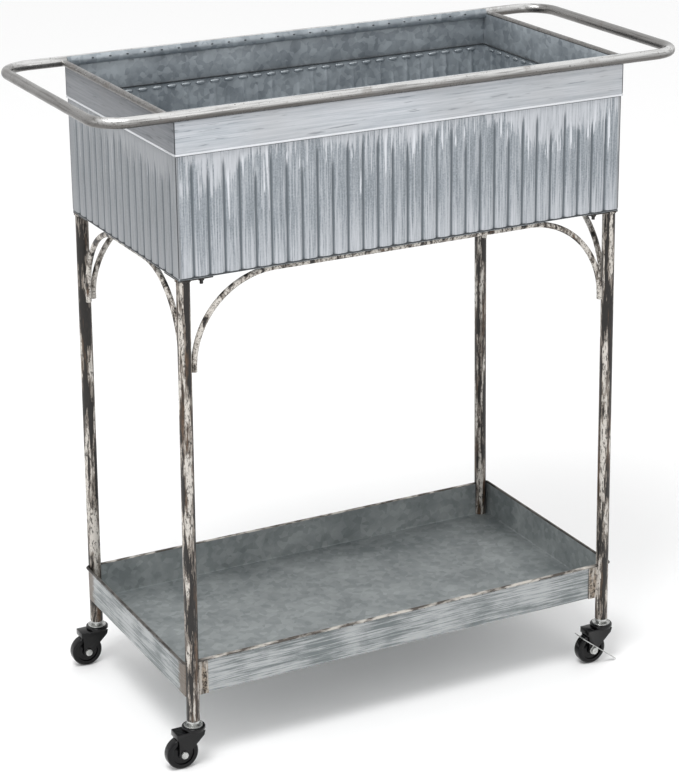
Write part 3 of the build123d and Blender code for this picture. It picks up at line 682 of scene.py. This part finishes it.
def distressed_paint(name, stretch, streak, chalk_from):
    """Rubbed-back black paint: streaks this many millimetres wide, stretched along the bar."""
    material, tree, shader, place = start_material(name, 0.15, 0.5)
    along = node(tree, "Mapping", {"Vector": place, "Scale": (1, 1, stretch)})
    coats = node(tree, "TexNoise", {"Vector": along.outputs[0], "Scale": per_mm(streak), "Detail": 6,
                                    "Roughness": 0.62})
    moved = node(tree, "Mapping", {"Vector": along.outputs[0], "Location": (3, 5, 7)})
    primer = node(tree, "TexNoise", {"Vector": moved.outputs[0], "Scale": per_mm(1.6 * streak),
                                     "Detail": 5, "Roughness": 0.6})
    speckle_place = node(tree, "Mapping", {"Vector": place, "Scale": (1, 1, 3 * stretch)})
    fine = node(tree, "TexNoise", {"Vector": speckle_place.outputs[0], "Scale": per_mm(streak / 4),
                                   "Detail": 4, "Roughness": 0.7})
    grey_share = node(tree, "MapRange", {0: coats.outputs[0], 1: chalk_from - 0.045,
                                         2: chalk_from - 0.025})
    chalk_share = node(tree, "MapRange", {0: coats.outputs[0], 1: chalk_from + 0.005,
                                          2: chalk_from + 0.03})
    primer_share = node(tree, "MapRange", {0: primer.outputs[0], 1: 0.56, 2: 0.62, 3: 0, 4: 0.8})
    fine_share = node(tree, "MapRange", {0: fine.outputs[0], 1: 0.52, 2: 0.58, 3: 0, 4: 0.85})
    black = node(tree, "Mix", {0: primer_share.outputs[0], 6: linear("#171412"),
                               7: linear("#5E4937")}, data_type="RGBA")
    grey = node(tree, "Mix", {0: grey_share.outputs[0], 6: black.outputs[2], 7: linear("#7B736B")},
                data_type="RGBA")
    chalk = node(tree, "Mix", {0: chalk_share.outputs[0], 6: grey.outputs[2], 7: linear("#C2BDB6")},
                 data_type="RGBA")
    worn = node(tree, "Mix", {0: fine_share.outputs[0], 6: chalk.outputs[2], 7: linear("#211C18")},
                data_type="RGBA")
    tree.links.new(worn.outputs[2], shader.inputs["Base Color"])
    gloss = node(tree, "MapRange", {0: coats.outputs[0], 1: 0.4, 2: 0.6, 3: 0.38, 4: 0.65})
    tree.links.new(gloss.outputs[0], shader.inputs["Roughness"])
    bump = node(tree, "Bump", {"Height": coats.outputs[0], "Strength": 0.5, "Distance": 0.4 * MM})
    tree.links.new(bump.outputs[0], shader.inputs["Normal"])
    return material


leg_paint = distressed_paint("rubbed_back_black_paint_on_legs", 0.1, 10, 0.53)
brace_paint = distressed_paint("rubbed_back_black_paint_on_braces", 0.35, 11, 0.48)


def weld_ring(name, spot, ring, bead):
    """A lumpy weld bead round a tube."""
    bpy.ops.mesh.primitive_torus_add(
        major_radius=ring, minor_radius=bead, major_segments=40, minor_segments=8, location=spot
    )
    weld = start_piece(name)
    settle(weld)
    pick(weld, "VERT", lambda v: True)
    bpy.ops.transform.vertex_random(offset=0.25 * bead, seed=4)
    close()
    bpy.ops.object.shade_smooth()
    return weld


for corner, (side_x, side_y) in CORNERS.items():
    low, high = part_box(f"leg_{corner}")
    top_x = side_x * (min(abs(low.x), abs(high.x)) + LEG_RADIUS)
    foot_x = side_x * (max(abs(low.x), abs(high.x)) - LEG_RADIUS)
    leg_y = (low.y + high.y) / 2
    bpy.ops.mesh.primitive_cylinder_add(
        vertices=40, radius=LEG_RADIUS, depth=high.z - low.z,
        location=(top_x, leg_y, (low.z + high.z) / 2),
    )
    tube = start_piece(f"leg_{corner}_tube")
    settle(tube)
    pick(tube, "VERT", lambda v: v.co.z < (low.z + high.z) / 2)
    bpy.ops.transform.translate(value=(foot_x - top_x, 0, 0))
    close()
    pick(tube, "FACE", lambda f: f.normal.z < -0.9)
    bpy.ops.mesh.inset(thickness=1.2 * MM, depth=0)
    bpy.ops.mesh.inset(thickness=0.05 * MM, depth=-2 * MM)
    close()
    modify(tube, "BEVEL", width=0.4 * MM, segments=2, limit_method="ANGLE")
    smooth(tube, 35)
    weld = weld_ring("weld", (top_x, leg_y, high.z - 0.6 * MM), LEG_RADIUS, 1.7 * MM)
    piece = join(f"leg_{corner}", [tube, weld])
    piece.data.materials.append(leg_paint)
    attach(piece, "frame")
    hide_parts(f"leg_{corner}")

LONG_ARCH = 125 * MM
SHORT_ARCH = 115 * MM


def arched_brace(wall, turn, arch):
    """A bar along X bent down at both ends, with hammered flats at its feet."""
    low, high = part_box(f"brace_{wall}")
    spans = high - low
    across = max(spans.x, spans.y)
    radius = min(spans.x, spans.y) / 2
    bpy.ops.mesh.primitive_plane_add(size=1, rotation=(math.radians(90), 0, 0))
    piece = start_piece(f"brace_{wall}")
    piece.scale = (across - 2 * radius, high.z - radius - low.z, 1)
    piece.location.z = (high.z - radius + low.z) / 2
    settle(piece)
    middle = (high.z + low.z) / 2
    pick(piece, "VERT", lambda v: v.co.z > middle)
    bpy.ops.mesh.bevel(offset=arch, offset_type="OFFSET", affect="VERTICES", segments=28)
    close()
    pick(piece, "VERT", lambda v: v.co.z < low.z + 1 * MM)
    bpy.ops.mesh.delete(type="EDGE_FACE")
    close()
    thicken_line(piece, radius, 5)
    pick(piece, "FACE", lambda f: f.normal.z < -0.9)
    bpy.ops.mesh.inset(thickness=0.25 * radius, depth=0)
    close()
    modify(piece, "BEVEL", width=0.6 * MM, segments=2, limit_method="ANGLE")
    piece.rotation_euler = (0, 0, turn)
    piece.location = ((low.x + high.x) / 2, (low.y + high.y) / 2, 0)
    settle(piece)
    smooth(piece, 40)
    piece.data.materials.append(brace_paint)
    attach(piece, "frame")
    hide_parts(f"brace_{wall}")


for wall in ("front", "back"):
    arched_brace(wall, 0, LONG_ARCH)
for wall in ("left", "right"):
    arched_brace(wall, math.pi / 2, SHORT_ARCH)

# Black satin paint on the plates and studs, dusty and chipped at a 3 mm scale.
plate_paint, tree, shader, place = start_material("chipped_black_satin_paint", 0.1, 0.45)
chips = node(tree, "TexNoise", {"Vector": place, "Scale": per_mm(5), "Detail": 5, "Roughness": 0.7})
chip_share = node(tree, "MapRange", {0: chips.outputs[0], 1: 0.6, 2: 0.7})
chip_tone = node(tree, "Mix", {0: chip_share.outputs[0], 6: linear("#15130F"), 7: linear("#6A6159")},
                 data_type="RGBA")
tree.links.new(chip_tone.outputs[2], shader.inputs["Base Color"])
chip_bump = node(tree, "Bump", {"Height": chips.outputs[0], "Strength": 0.3, "Distance": 0.3 * MM})
tree.links.new(chip_bump.outputs[0], shader.inputs["Normal"])
dress([f"leg_plate_{corner}" for corner in CORNERS] + ["plate_studs"], plate_paint)

# ---- Tray -------------------------------------------------------------------------------------
# A low tray of 0.8 mm galvanised sheet, folded up at its four sides, with its top edge rolled
# outward over a wire and crimped every 20 mm. Its outside is dry-brushed with whitewash; its
# inside is bare. The legs stand through its corners.
TRAY_LOW, TRAY_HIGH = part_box("tray_pan")
TRAY_ROLL = 2.25 * MM
TRAY_HALF_LENGTH = TRAY_HIGH.x - 2 * TRAY_ROLL + SHEET
TRAY_HALF_DEPTH = TRAY_HIGH.y - 2 * TRAY_ROLL + SHEET
ROLL_HEIGHT = TRAY_HIGH.z - TRAY_ROLL
TRAY_CRIMP_PITCH = 20 * MM

# Thin whitewash brushed along the tray over grey-green zinc: streaks 2 mm apart.
tray_paint, tree, shader, place = start_material("thin_whitewash_over_zinc", 0.15, 0.5)
level = node(tree, "Mapping", {"Vector": place, "Scale": (0.03, 0.03, 1)})
lines = node(tree, "TexNoise", {"Vector": level.outputs[0], "Scale": per_mm(2.6), "Detail": 6,
                                "Roughness": 0.75, "Distortion": 0.2})
patches = node(tree, "TexNoise", {"Vector": place, "Scale": per_mm(70), "Detail": 4})
patch_lift = node(tree, "Math", {0: patches.outputs[0], 1: 0.5, 2: lines.outputs[0]},
                  operation="MULTIPLY_ADD")
lime_share = node(tree, "MapRange", {0: patch_lift.outputs[0], 1: 0.66, 2: 0.82})
tray_tone = node(tree, "Mix", {0: lime_share.outputs[0], 6: linear("#666D6E"), 7: linear("#A6A9AA")},
                 data_type="RGBA")
# Rust has crept 20 mm from the legs' welds at each corner.
tray_x_y_z = node(tree, "SeparateXYZ", {0: place})
tray_reach_x = node(tree, "Math", {0: tray_x_y_z.outputs[0]}, operation="ABSOLUTE")
tray_reach_y = node(tree, "Math", {0: tray_x_y_z.outputs[1]}, operation="ABSOLUTE")
tray_reach = node(tree, "Math", {0: tray_reach_x.outputs[0], 1: tray_reach_y.outputs[0]},
                  operation="ADD")
creep = node(tree, "TexNoise", {"Vector": place, "Scale": per_mm(7), "Detail": 6, "Roughness": 0.7})
crept_reach = node(tree, "Math", {0: creep.outputs[0], 1: 0.04, 2: tray_reach.outputs[0]},
                   operation="MULTIPLY_ADD")
corner_reach = TRAY_HALF_LENGTH + TRAY_HALF_DEPTH
creep_share = node(tree, "MapRange", {0: crept_reach.outputs[0], 1: corner_reach - 0.006,
                                      2: corner_reach + 0.004, 3: 0, 4: 0.8})
crept_tone = node(tree, "Mix", {0: creep_share.outputs[0], 6: tray_tone.outputs[2],
                                7: linear("#5E4F40")}, data_type="RGBA")
tree.links.new(crept_tone.outputs[2], shader.inputs["Base Color"])
tray_bump = node(tree, "Bump", {"Height": lines.outputs[0], "Strength": 0.3, "Distance": 0.3 * MM})
tree.links.new(tray_bump.outputs[0], shader.inputs["Normal"])

# Weathered zinc inside the tray: duller and flatter than in the box, with water marks 80 mm wide.
tray_zinc, tree, shader, place = start_material("weathered_zinc", 0.35, 0.5)
marks = node(tree, "TexNoise", {"Vector": place, "Scale": per_mm(80), "Detail": 6, "Roughness": 0.6,
                                "Distortion": 0.6})
crystals = node(tree, "TexVoronoi", {"Vector": place, "Scale": per_mm(9)})
crystal_tone = node(tree, "SeparateXYZ", {0: crystals.outputs["Color"]})
zinc_mix = node(tree, "Math", {0: crystal_tone.outputs[0], 1: 0.22, 2: marks.outputs[0]},
                operation="MULTIPLY_ADD")
zinc_share = node(tree, "MapRange", {0: zinc_mix.outputs[0], 1: 0.4, 2: 0.85})
weathered_tone = node(tree, "Mix", {0: zinc_share.outputs[0], 6: linear("#6F7576"),
                                    7: linear("#959A9A")}, data_type="RGBA")
tree.links.new(weathered_tone.outputs[2], shader.inputs["Base Color"])
weathered_gloss = node(tree, "MapRange", {0: marks.outputs[0], 1: 0.3, 2: 0.7, 3: 0.4, 4: 0.6})
tree.links.new(weathered_gloss.outputs[0], shader.inputs["Roughness"])
weathered_bump = node(tree, "Bump", {"Height": marks.outputs[0], "Strength": 0.3,
                                     "Distance": 2 * MM})
tree.links.new(weathered_bump.outputs[0], shader.inputs["Normal"])

bpy.ops.mesh.primitive_cube_add(size=1, location=(0, 0, (TRAY_LOW.z + ROLL_HEIGHT) / 2))
tray = start_piece("tray_pan")
tray.scale = (2 * TRAY_HALF_LENGTH, 2 * TRAY_HALF_DEPTH, ROLL_HEIGHT - TRAY_LOW.z)
settle(tray)
pick(tray, "FACE", lambda f: f.normal.z > 0.9)
bpy.ops.mesh.delete(type="ONLY_FACE")
close()
modify(tray, "BEVEL", width=2 * MM, segments=3, limit_method="ANGLE")
pick(tray, "FACE", lambda f: f.normal.z < -0.99)
bpy.ops.mesh.inset(thickness=10 * MM, depth=0)
bpy.ops.mesh.subdivide(number_cuts=18)
close()
pick(tray, "VERT", lambda v: v.co.z < TRAY_LOW.z + 0.1 * MM
     and abs(v.co.x) < TRAY_HALF_LENGTH - 25 * MM and abs(v.co.y) < TRAY_HALF_DEPTH - 25 * MM)
bpy.ops.transform.translate(value=(0, 0, 0.5 * MM))
bpy.ops.transform.vertex_random(offset=0.35 * MM, seed=11)
close()
tray.data.materials.append(tray_paint)
tray.data.materials.append(tray_zinc)
modify(tray, "SOLIDIFY", thickness=SHEET, offset=-1, material_offset=1, material_offset_rim=1)
smooth(tray, 40)
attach(tray, "frame")
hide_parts("tray_pan")

# Rolled edge: rubbed to beige bare metal on top, dark where dirt sits, black near the legs.
rim_metal, tree, shader, place = start_material("rubbed_rolled_edge", 0.5, 0.4)
rim_place = node(tree, "Mapping", {"Vector": place, "Scale": (0.25, 0.25, 1)})
rubs = node(tree, "TexNoise", {"Vector": rim_place.outputs[0], "Scale": per_mm(5), "Detail": 5})
wear_and_highlight_share = node(tree, "MapRange", {0: rubs.outputs[0], 1: 0.42, 2: 0.6})
rim_x_y_z = node(tree, "SeparateXYZ", {0: place})
rim_reach = node(tree, "Math", {0: rim_x_y_z.outputs[0]}, operation="ABSOLUTE")
near_leg = node(tree, "MapRange", {0: rim_reach.outputs[0], 1: TRAY_HALF_LENGTH - 45 * MM,
                                   2: TRAY_HALF_LENGTH - 22 * MM, 3: 0, 4: 0.85})
rub_tone = node(tree, "Mix", {0: wear_and_highlight_share.outputs[0], 6: linear("#4F4A45"), 7: linear("#BFBAB3")},
                data_type="RGBA")
rim_tone = node(tree, "Mix", {0: near_leg.outputs[0], 6: rub_tone.outputs[2], 7: linear("#26211D")},
                data_type="RGBA")
tree.links.new(rim_tone.outputs[2], shader.inputs["Base Color"])
rim_bump = node(tree, "Bump", {"Height": rubs.outputs[0], "Strength": 0.4, "Distance": 0.3 * MM})
tree.links.new(rim_bump.outputs[0], shader.inputs["Normal"])

tray_rim = bent_loop("tray_rim", 2 * (TRAY_HIGH.x - TRAY_ROLL), 2 * (TRAY_HIGH.y - TRAY_ROLL),
                     ROLL_HEIGHT, 5 * MM, TRAY_ROLL, 4)
tray_rim.data.materials.append(rim_metal)
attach(tray_rim, "frame")


def run_of_crimps(half_run, across, turned):
    """Places every 20 mm along a pair of opposite sides, under the rolled edge."""
    count = int(2 * (half_run - 30 * MM) / TRAY_CRIMP_PITCH)
    spots = []
    for i in range(count):
        along = (i - (count - 1) / 2) * TRAY_CRIMP_PITCH
        for side in (-1, 1):
            x, y = (side * across, along) if turned else (along, side * across)
            spots.append((x, y, ROLL_HEIGHT - 0.75 * TRAY_ROLL))
    return spots


long_crimps = run_of_crimps(TRAY_HALF_LENGTH, TRAY_HIGH.y - 0.75 * TRAY_ROLL, False)
short_crimps = run_of_crimps(TRAY_HALF_DEPTH, TRAY_HIGH.x - 0.75 * TRAY_ROLL, True)
tray_crimps = row_of_pips("tray_rim_crimps", long_crimps + short_crimps, (1.5 * MM, 1.1 * MM, 1.1 * MM))
tray_crimps.data.materials.append(dark_dirt_and_shade)
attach(tray_crimps, "frame")

# ---- Tray brackets ----------------------------------------------------------------------------
# A 15 mm tab of 1.5 mm sheet beside each leg, on the outside of the tray's long walls, tack
# welded to the leg down one edge. The unpainted steel has rusted brown round the welds.

# Rust: orange-brown and dark brown bloom at a 5 mm scale over grey steel, rough, with chalky
# whitewash smears left along it.
rust, tree, shader, place = start_material("surface_rust_on_mild_steel", 0.1, 0.75)
bloom = node(tree, "TexNoise", {"Vector": place, "Scale": per_mm(6), "Detail": 7, "Roughness": 0.75})
bloom_share = node(tree, "MapRange", {0: bloom.outputs[0], 1: 0.46, 2: 0.54})
smear_place = node(tree, "Mapping", {"Vector": place, "Scale": (1, 1, 0.1)})
smears = node(tree, "TexNoise", {"Vector": smear_place.outputs[0], "Scale": per_mm(5), "Detail": 3})
smear_share = node(tree, "MapRange", {0: smears.outputs[0], 1: 0.46, 2: 0.58, 3: 0, 4: 0.8})
rust_tone = node(tree, "Mix", {0: bloom_share.outputs[0], 6: linear("#332B24"), 7: linear("#8F8375")},
                 data_type="RGBA")
rust_smears = node(tree, "Mix", {0: smear_share.outputs[0], 6: rust_tone.outputs[2],
                                 7: linear("#B9B4AD")}, data_type="RGBA")
tree.links.new(rust_smears.outputs[2], shader.inputs["Base Color"])
rust_bump = node(tree, "Bump", {"Height": bloom.outputs[0], "Strength": 0.6, "Distance": 0.5 * MM})
tree.links.new(rust_bump.outputs[0], shader.inputs["Normal"])


def eased_copy(name, width, segments=2):
    """A copy of a frame node with its edges rounded over, as pressing and tumbling leave them."""
    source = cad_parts[name]
    piece = bpy.data.objects.new(name + "_eased", source.data.copy())
    bpy.context.scene.collection.objects.link(piece)
    piece.data.materials.clear()
    pick(piece, "VERT", lambda v: True)
    bpy.ops.mesh.remove_doubles(threshold=0.005 * MM)
    bpy.ops.mesh.dissolve_limited(angle_limit=math.radians(0.5))
    close()
    modify(piece, "BEVEL", width=width, segments=segments, limit_method="ANGLE",
           angle_limit=math.radians(40), use_clamp_overlap=True)
    smooth(piece, 35)
    return piece


def finish_copy(name, width, material, body, segments=2):
    """An eased copy that stands for its frame node."""
    piece = eased_copy(name, width, segments)
    piece.data.materials.append(material)
    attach(piece, body)
    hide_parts(name)


for corner, (side_x, side_y) in CORNERS.items():
    finish_copy(f"tray_bracket_{corner}", 0.35 * MM, rust, "frame")
    low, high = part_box(f"tray_bracket_{corner}")
    edge_x = high.x if side_x > 0 else low.x
    face_y = high.y if side_y > 0 else low.y
    tack_shares = (0.12, 0.2, 0.5, 0.8, 0.88)
    spots = [(edge_x, face_y, low.z + share * (high.z - low.z)) for share in tack_shares]
    tacks = row_of_pips(f"bracket_tacks_{corner}", spots, (2.4 * MM, 1.6 * MM, 2.6 * MM))
    tacks.data.materials.append(rust)
    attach(tacks, "frame")

# ---- Casters ----------------------------------------------------------------------------------
# Four stock swivel casters. A zinc-plated stem with a collar nut goes up into the leg's socket, a
# pressed race cup holds the ring of balls, a black enamelled fork carries a moulded black wheel on
# a bolt, and the two right-hand ones have a folded zinc-plated brake lever on the bolt.

# Bright zinc plate: silvery, faintly cloudy at a 6 mm scale.
zinc_plate, tree, shader, place = start_material("bright_zinc_plate", 0.9, 0.28)
haze = node(tree, "TexNoise", {"Vector": place, "Scale": per_mm(6), "Detail": 4})
haze_share = node(tree, "MapRange", {0: haze.outputs[0], 1: 0.35, 2: 0.65})
plate_tone = node(tree, "Mix", {0: haze_share.outputs[0], 6: linear("#9C9D9B"), 7: linear("#C9CAC8")},
                  data_type="RGBA")
tree.links.new(plate_tone.outputs[2], shader.inputs["Base Color"])
plate_gloss = node(tree, "MapRange", {0: haze.outputs[0], 1: 0.35, 2: 0.65, 3: 0.36, 4: 0.22})
tree.links.new(plate_gloss.outputs[0], shader.inputs["Roughness"])
plate_bump = node(tree, "Bump", {"Height": haze.outputs[0], "Strength": 0.15, "Distance": 0.2 * MM})
tree.links.new(plate_bump.outputs[0], shader.inputs["Normal"])

# Black enamel on the forks: glossy, slightly rippled at 4 mm, with dust in it.
enamel, tree, shader, place = start_material("glossy_black_enamel", 0.0, 0.2)
ripple = node(tree, "TexNoise", {"Vector": place, "Scale": per_mm(4), "Detail": 3})
dust = node(tree, "TexNoise", {"Vector": place, "Scale": per_mm(9), "Detail": 6, "Roughness": 0.75})
dust_share = node(tree, "MapRange", {0: dust.outputs[0], 1: 0.55, 2: 0.75, 3: 0, 4: 0.35})
enamel_tone = node(tree, "Mix", {0: dust_share.outputs[0], 6: linear("#070708"), 7: linear("#29292A")},
                   data_type="RGBA")
tree.links.new(enamel_tone.outputs[2], shader.inputs["Base Color"])
shader.inputs["Specular IOR Level"].default_value = 0.3
enamel_gloss = node(tree, "MapRange", {0: dust.outputs[0], 1: 0.4, 2: 0.7, 3: 0.1, 4: 0.26})
tree.links.new(enamel_gloss.outputs[0], shader.inputs["Roughness"])
enamel_bump = node(tree, "Bump", {"Height": ripple.outputs[0], "Strength": 0.1, "Distance": 0.3 * MM})
tree.links.new(enamel_bump.outputs[0], shader.inputs["Normal"])

# Moulded black polypropylene: satin, with a fine mould texture and scuffs on the tread.
wheel_plastic, tree, shader, place = start_material("moulded_black_polypropylene", 0.0, 0.3)
grain = node(tree, "TexNoise", {"Vector": place, "Scale": per_mm(0.8), "Detail": 2})
scuffs = node(tree, "TexNoise", {"Vector": place, "Scale": per_mm(7), "Detail": 6, "Roughness": 0.7})
scuff_share = node(tree, "MapRange", {0: scuffs.outputs[0], 1: 0.55, 2: 0.75, 3: 0, 4: 0.6})
plastic_tone = node(tree, "Mix", {0: scuff_share.outputs[0], 6: linear("#08080A"),
                                  7: linear("#232221")}, data_type="RGBA")
tree.links.new(plastic_tone.outputs[2], shader.inputs["Base Color"])
shader.inputs["Specular IOR Level"].default_value = 0.25
plastic_gloss = node(tree, "MapRange", {0: scuffs.outputs[0], 1: 0.4, 2: 0.7, 3: 0.12, 4: 0.32})
tree.links.new(plastic_gloss.outputs[0], shader.inputs["Roughness"])
plastic_bump = node(tree, "Bump", {"Height": grain.outputs[0], "Strength": 0.15,
                                   "Distance": 0.1 * MM})
tree.links.new(plastic_bump.outputs[0], shader.inputs["Normal"])

WHEEL_WIDTH = 16 * MM
TREAD_ROUNDING = 3.5 * MM
RIM_WIDTH = 4 * MM
WEB_WIDTH = 8 * MM
WEB_RECESS = 3 * MM
RING_RADIUS = 13.6 * MM
RING_HEIGHT = 1.8 * MM


def caster_wheel(corner):
    """A moulded wheel: rounded tread, recessed web and raised hub."""
    low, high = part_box(f"caster_wheel_{corner}")
    middle = (low + high) / 2
    bpy.ops.mesh.primitive_cylinder_add(
        vertices=56, radius=(high.z - low.z) / 2, depth=WHEEL_WIDTH, location=middle,
        rotation=(math.radians(90), 0, 0),
    )
    wheel = start_piece(f"caster_wheel_{corner}_moulded")
    settle(wheel)
    pick(wheel, "EDGE", lambda e: abs(e.verts[0].co.y - e.verts[1].co.y) < 0.1 * MM)
    bpy.ops.mesh.bevel(offset=TREAD_ROUNDING, segments=6, affect="EDGES")
    close()
    pick(wheel, "FACE", lambda f: abs(f.normal.y) > 0.999)
    bpy.ops.mesh.inset(thickness=RIM_WIDTH, depth=0)
    bpy.ops.mesh.inset(thickness=0.5 * MM, depth=-WEB_RECESS)
    bpy.ops.mesh.inset(thickness=WEB_WIDTH, depth=0)
    hub_rise = (high.y - low.y - WHEEL_WIDTH) / 2 + WEB_RECESS
    bpy.ops.mesh.inset(thickness=0.3 * MM, depth=hub_rise)
    close()
    modify(wheel, "BEVEL", width=0.35 * MM, segments=2, limit_method="ANGLE",
           angle_limit=math.radians(40))
    smooth(wheel, 35)
    wheel.data.materials.append(wheel_plastic)
    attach(wheel, f"wheel_{corner}")
    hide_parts(f"caster_wheel_{corner}")


def swivel_ring(corner):
    """The plated ring with a raised lip on top of the race cup, round the stem's neck."""
    low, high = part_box(f"race_cup_{corner}")
    middle = (low + high) / 2
    bpy.ops.mesh.primitive_cylinder_add(
        vertices=48, radius=RING_RADIUS, depth=RING_HEIGHT,
        location=(middle.x, middle.y, high.z + RING_HEIGHT / 2),
    )
    ring = start_piece(f"swivel_ring_{corner}")
    settle(ring)
    pick(ring, "FACE", lambda f: f.normal.z > 0.9)
    bpy.ops.mesh.inset(thickness=1.2 * MM, depth=0)
    bpy.ops.mesh.inset(thickness=0.5 * MM, depth=-0.9 * MM)
    close()
    modify(ring, "BEVEL", width=0.4 * MM, segments=3, limit_method="ANGLE",
           angle_limit=math.radians(40))
    smooth(ring, 35)
    ring.data.materials.append(zinc_plate)
    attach(ring, "frame")


for corner in CORNERS:
    body = f"caster_{corner}"
    caster_wheel(corner)
    finish_copy(f"caster_fork_{corner}", 0.5 * MM, enamel, body)
    finish_copy(f"caster_axle_{corner}", 1.1 * MM, zinc_plate, body, 3)
    finish_copy(f"caster_stem_{corner}", 0.5 * MM, zinc_plate, "frame", 3)
    finish_copy(f"race_cup_{corner}", 0.6 * MM, enamel, "frame")
    swivel_ring(corner)
    dress([f"race_balls_{corner}"], zinc_plate)
for corner in ("front_right", "back_right"):
    finish_copy(f"brake_lever_{corner}", 0.4 * MM, zinc_plate, f"brake_{corner}")

# Dark moulded nylon, faintly cloudy at a 5 mm scale.
nylon, tree, shader, place = start_material("moulded_nylon", 0.0, 0.45)
cloud = node(tree, "TexNoise", {"Vector": place, "Scale": per_mm(5), "Detail": 3})
nylon_tone = node(tree, "Mix", {0: cloud.outputs[0], 6: linear("#2A2A2A"), 7: linear("#3C3C3C")},
                  data_type="RGBA")
tree.links.new(nylon_tone.outputs[2], shader.inputs["Base Color"])
dress(["stem_sockets"], nylon)
dress(["rail_sleeves"], zinc_plate)
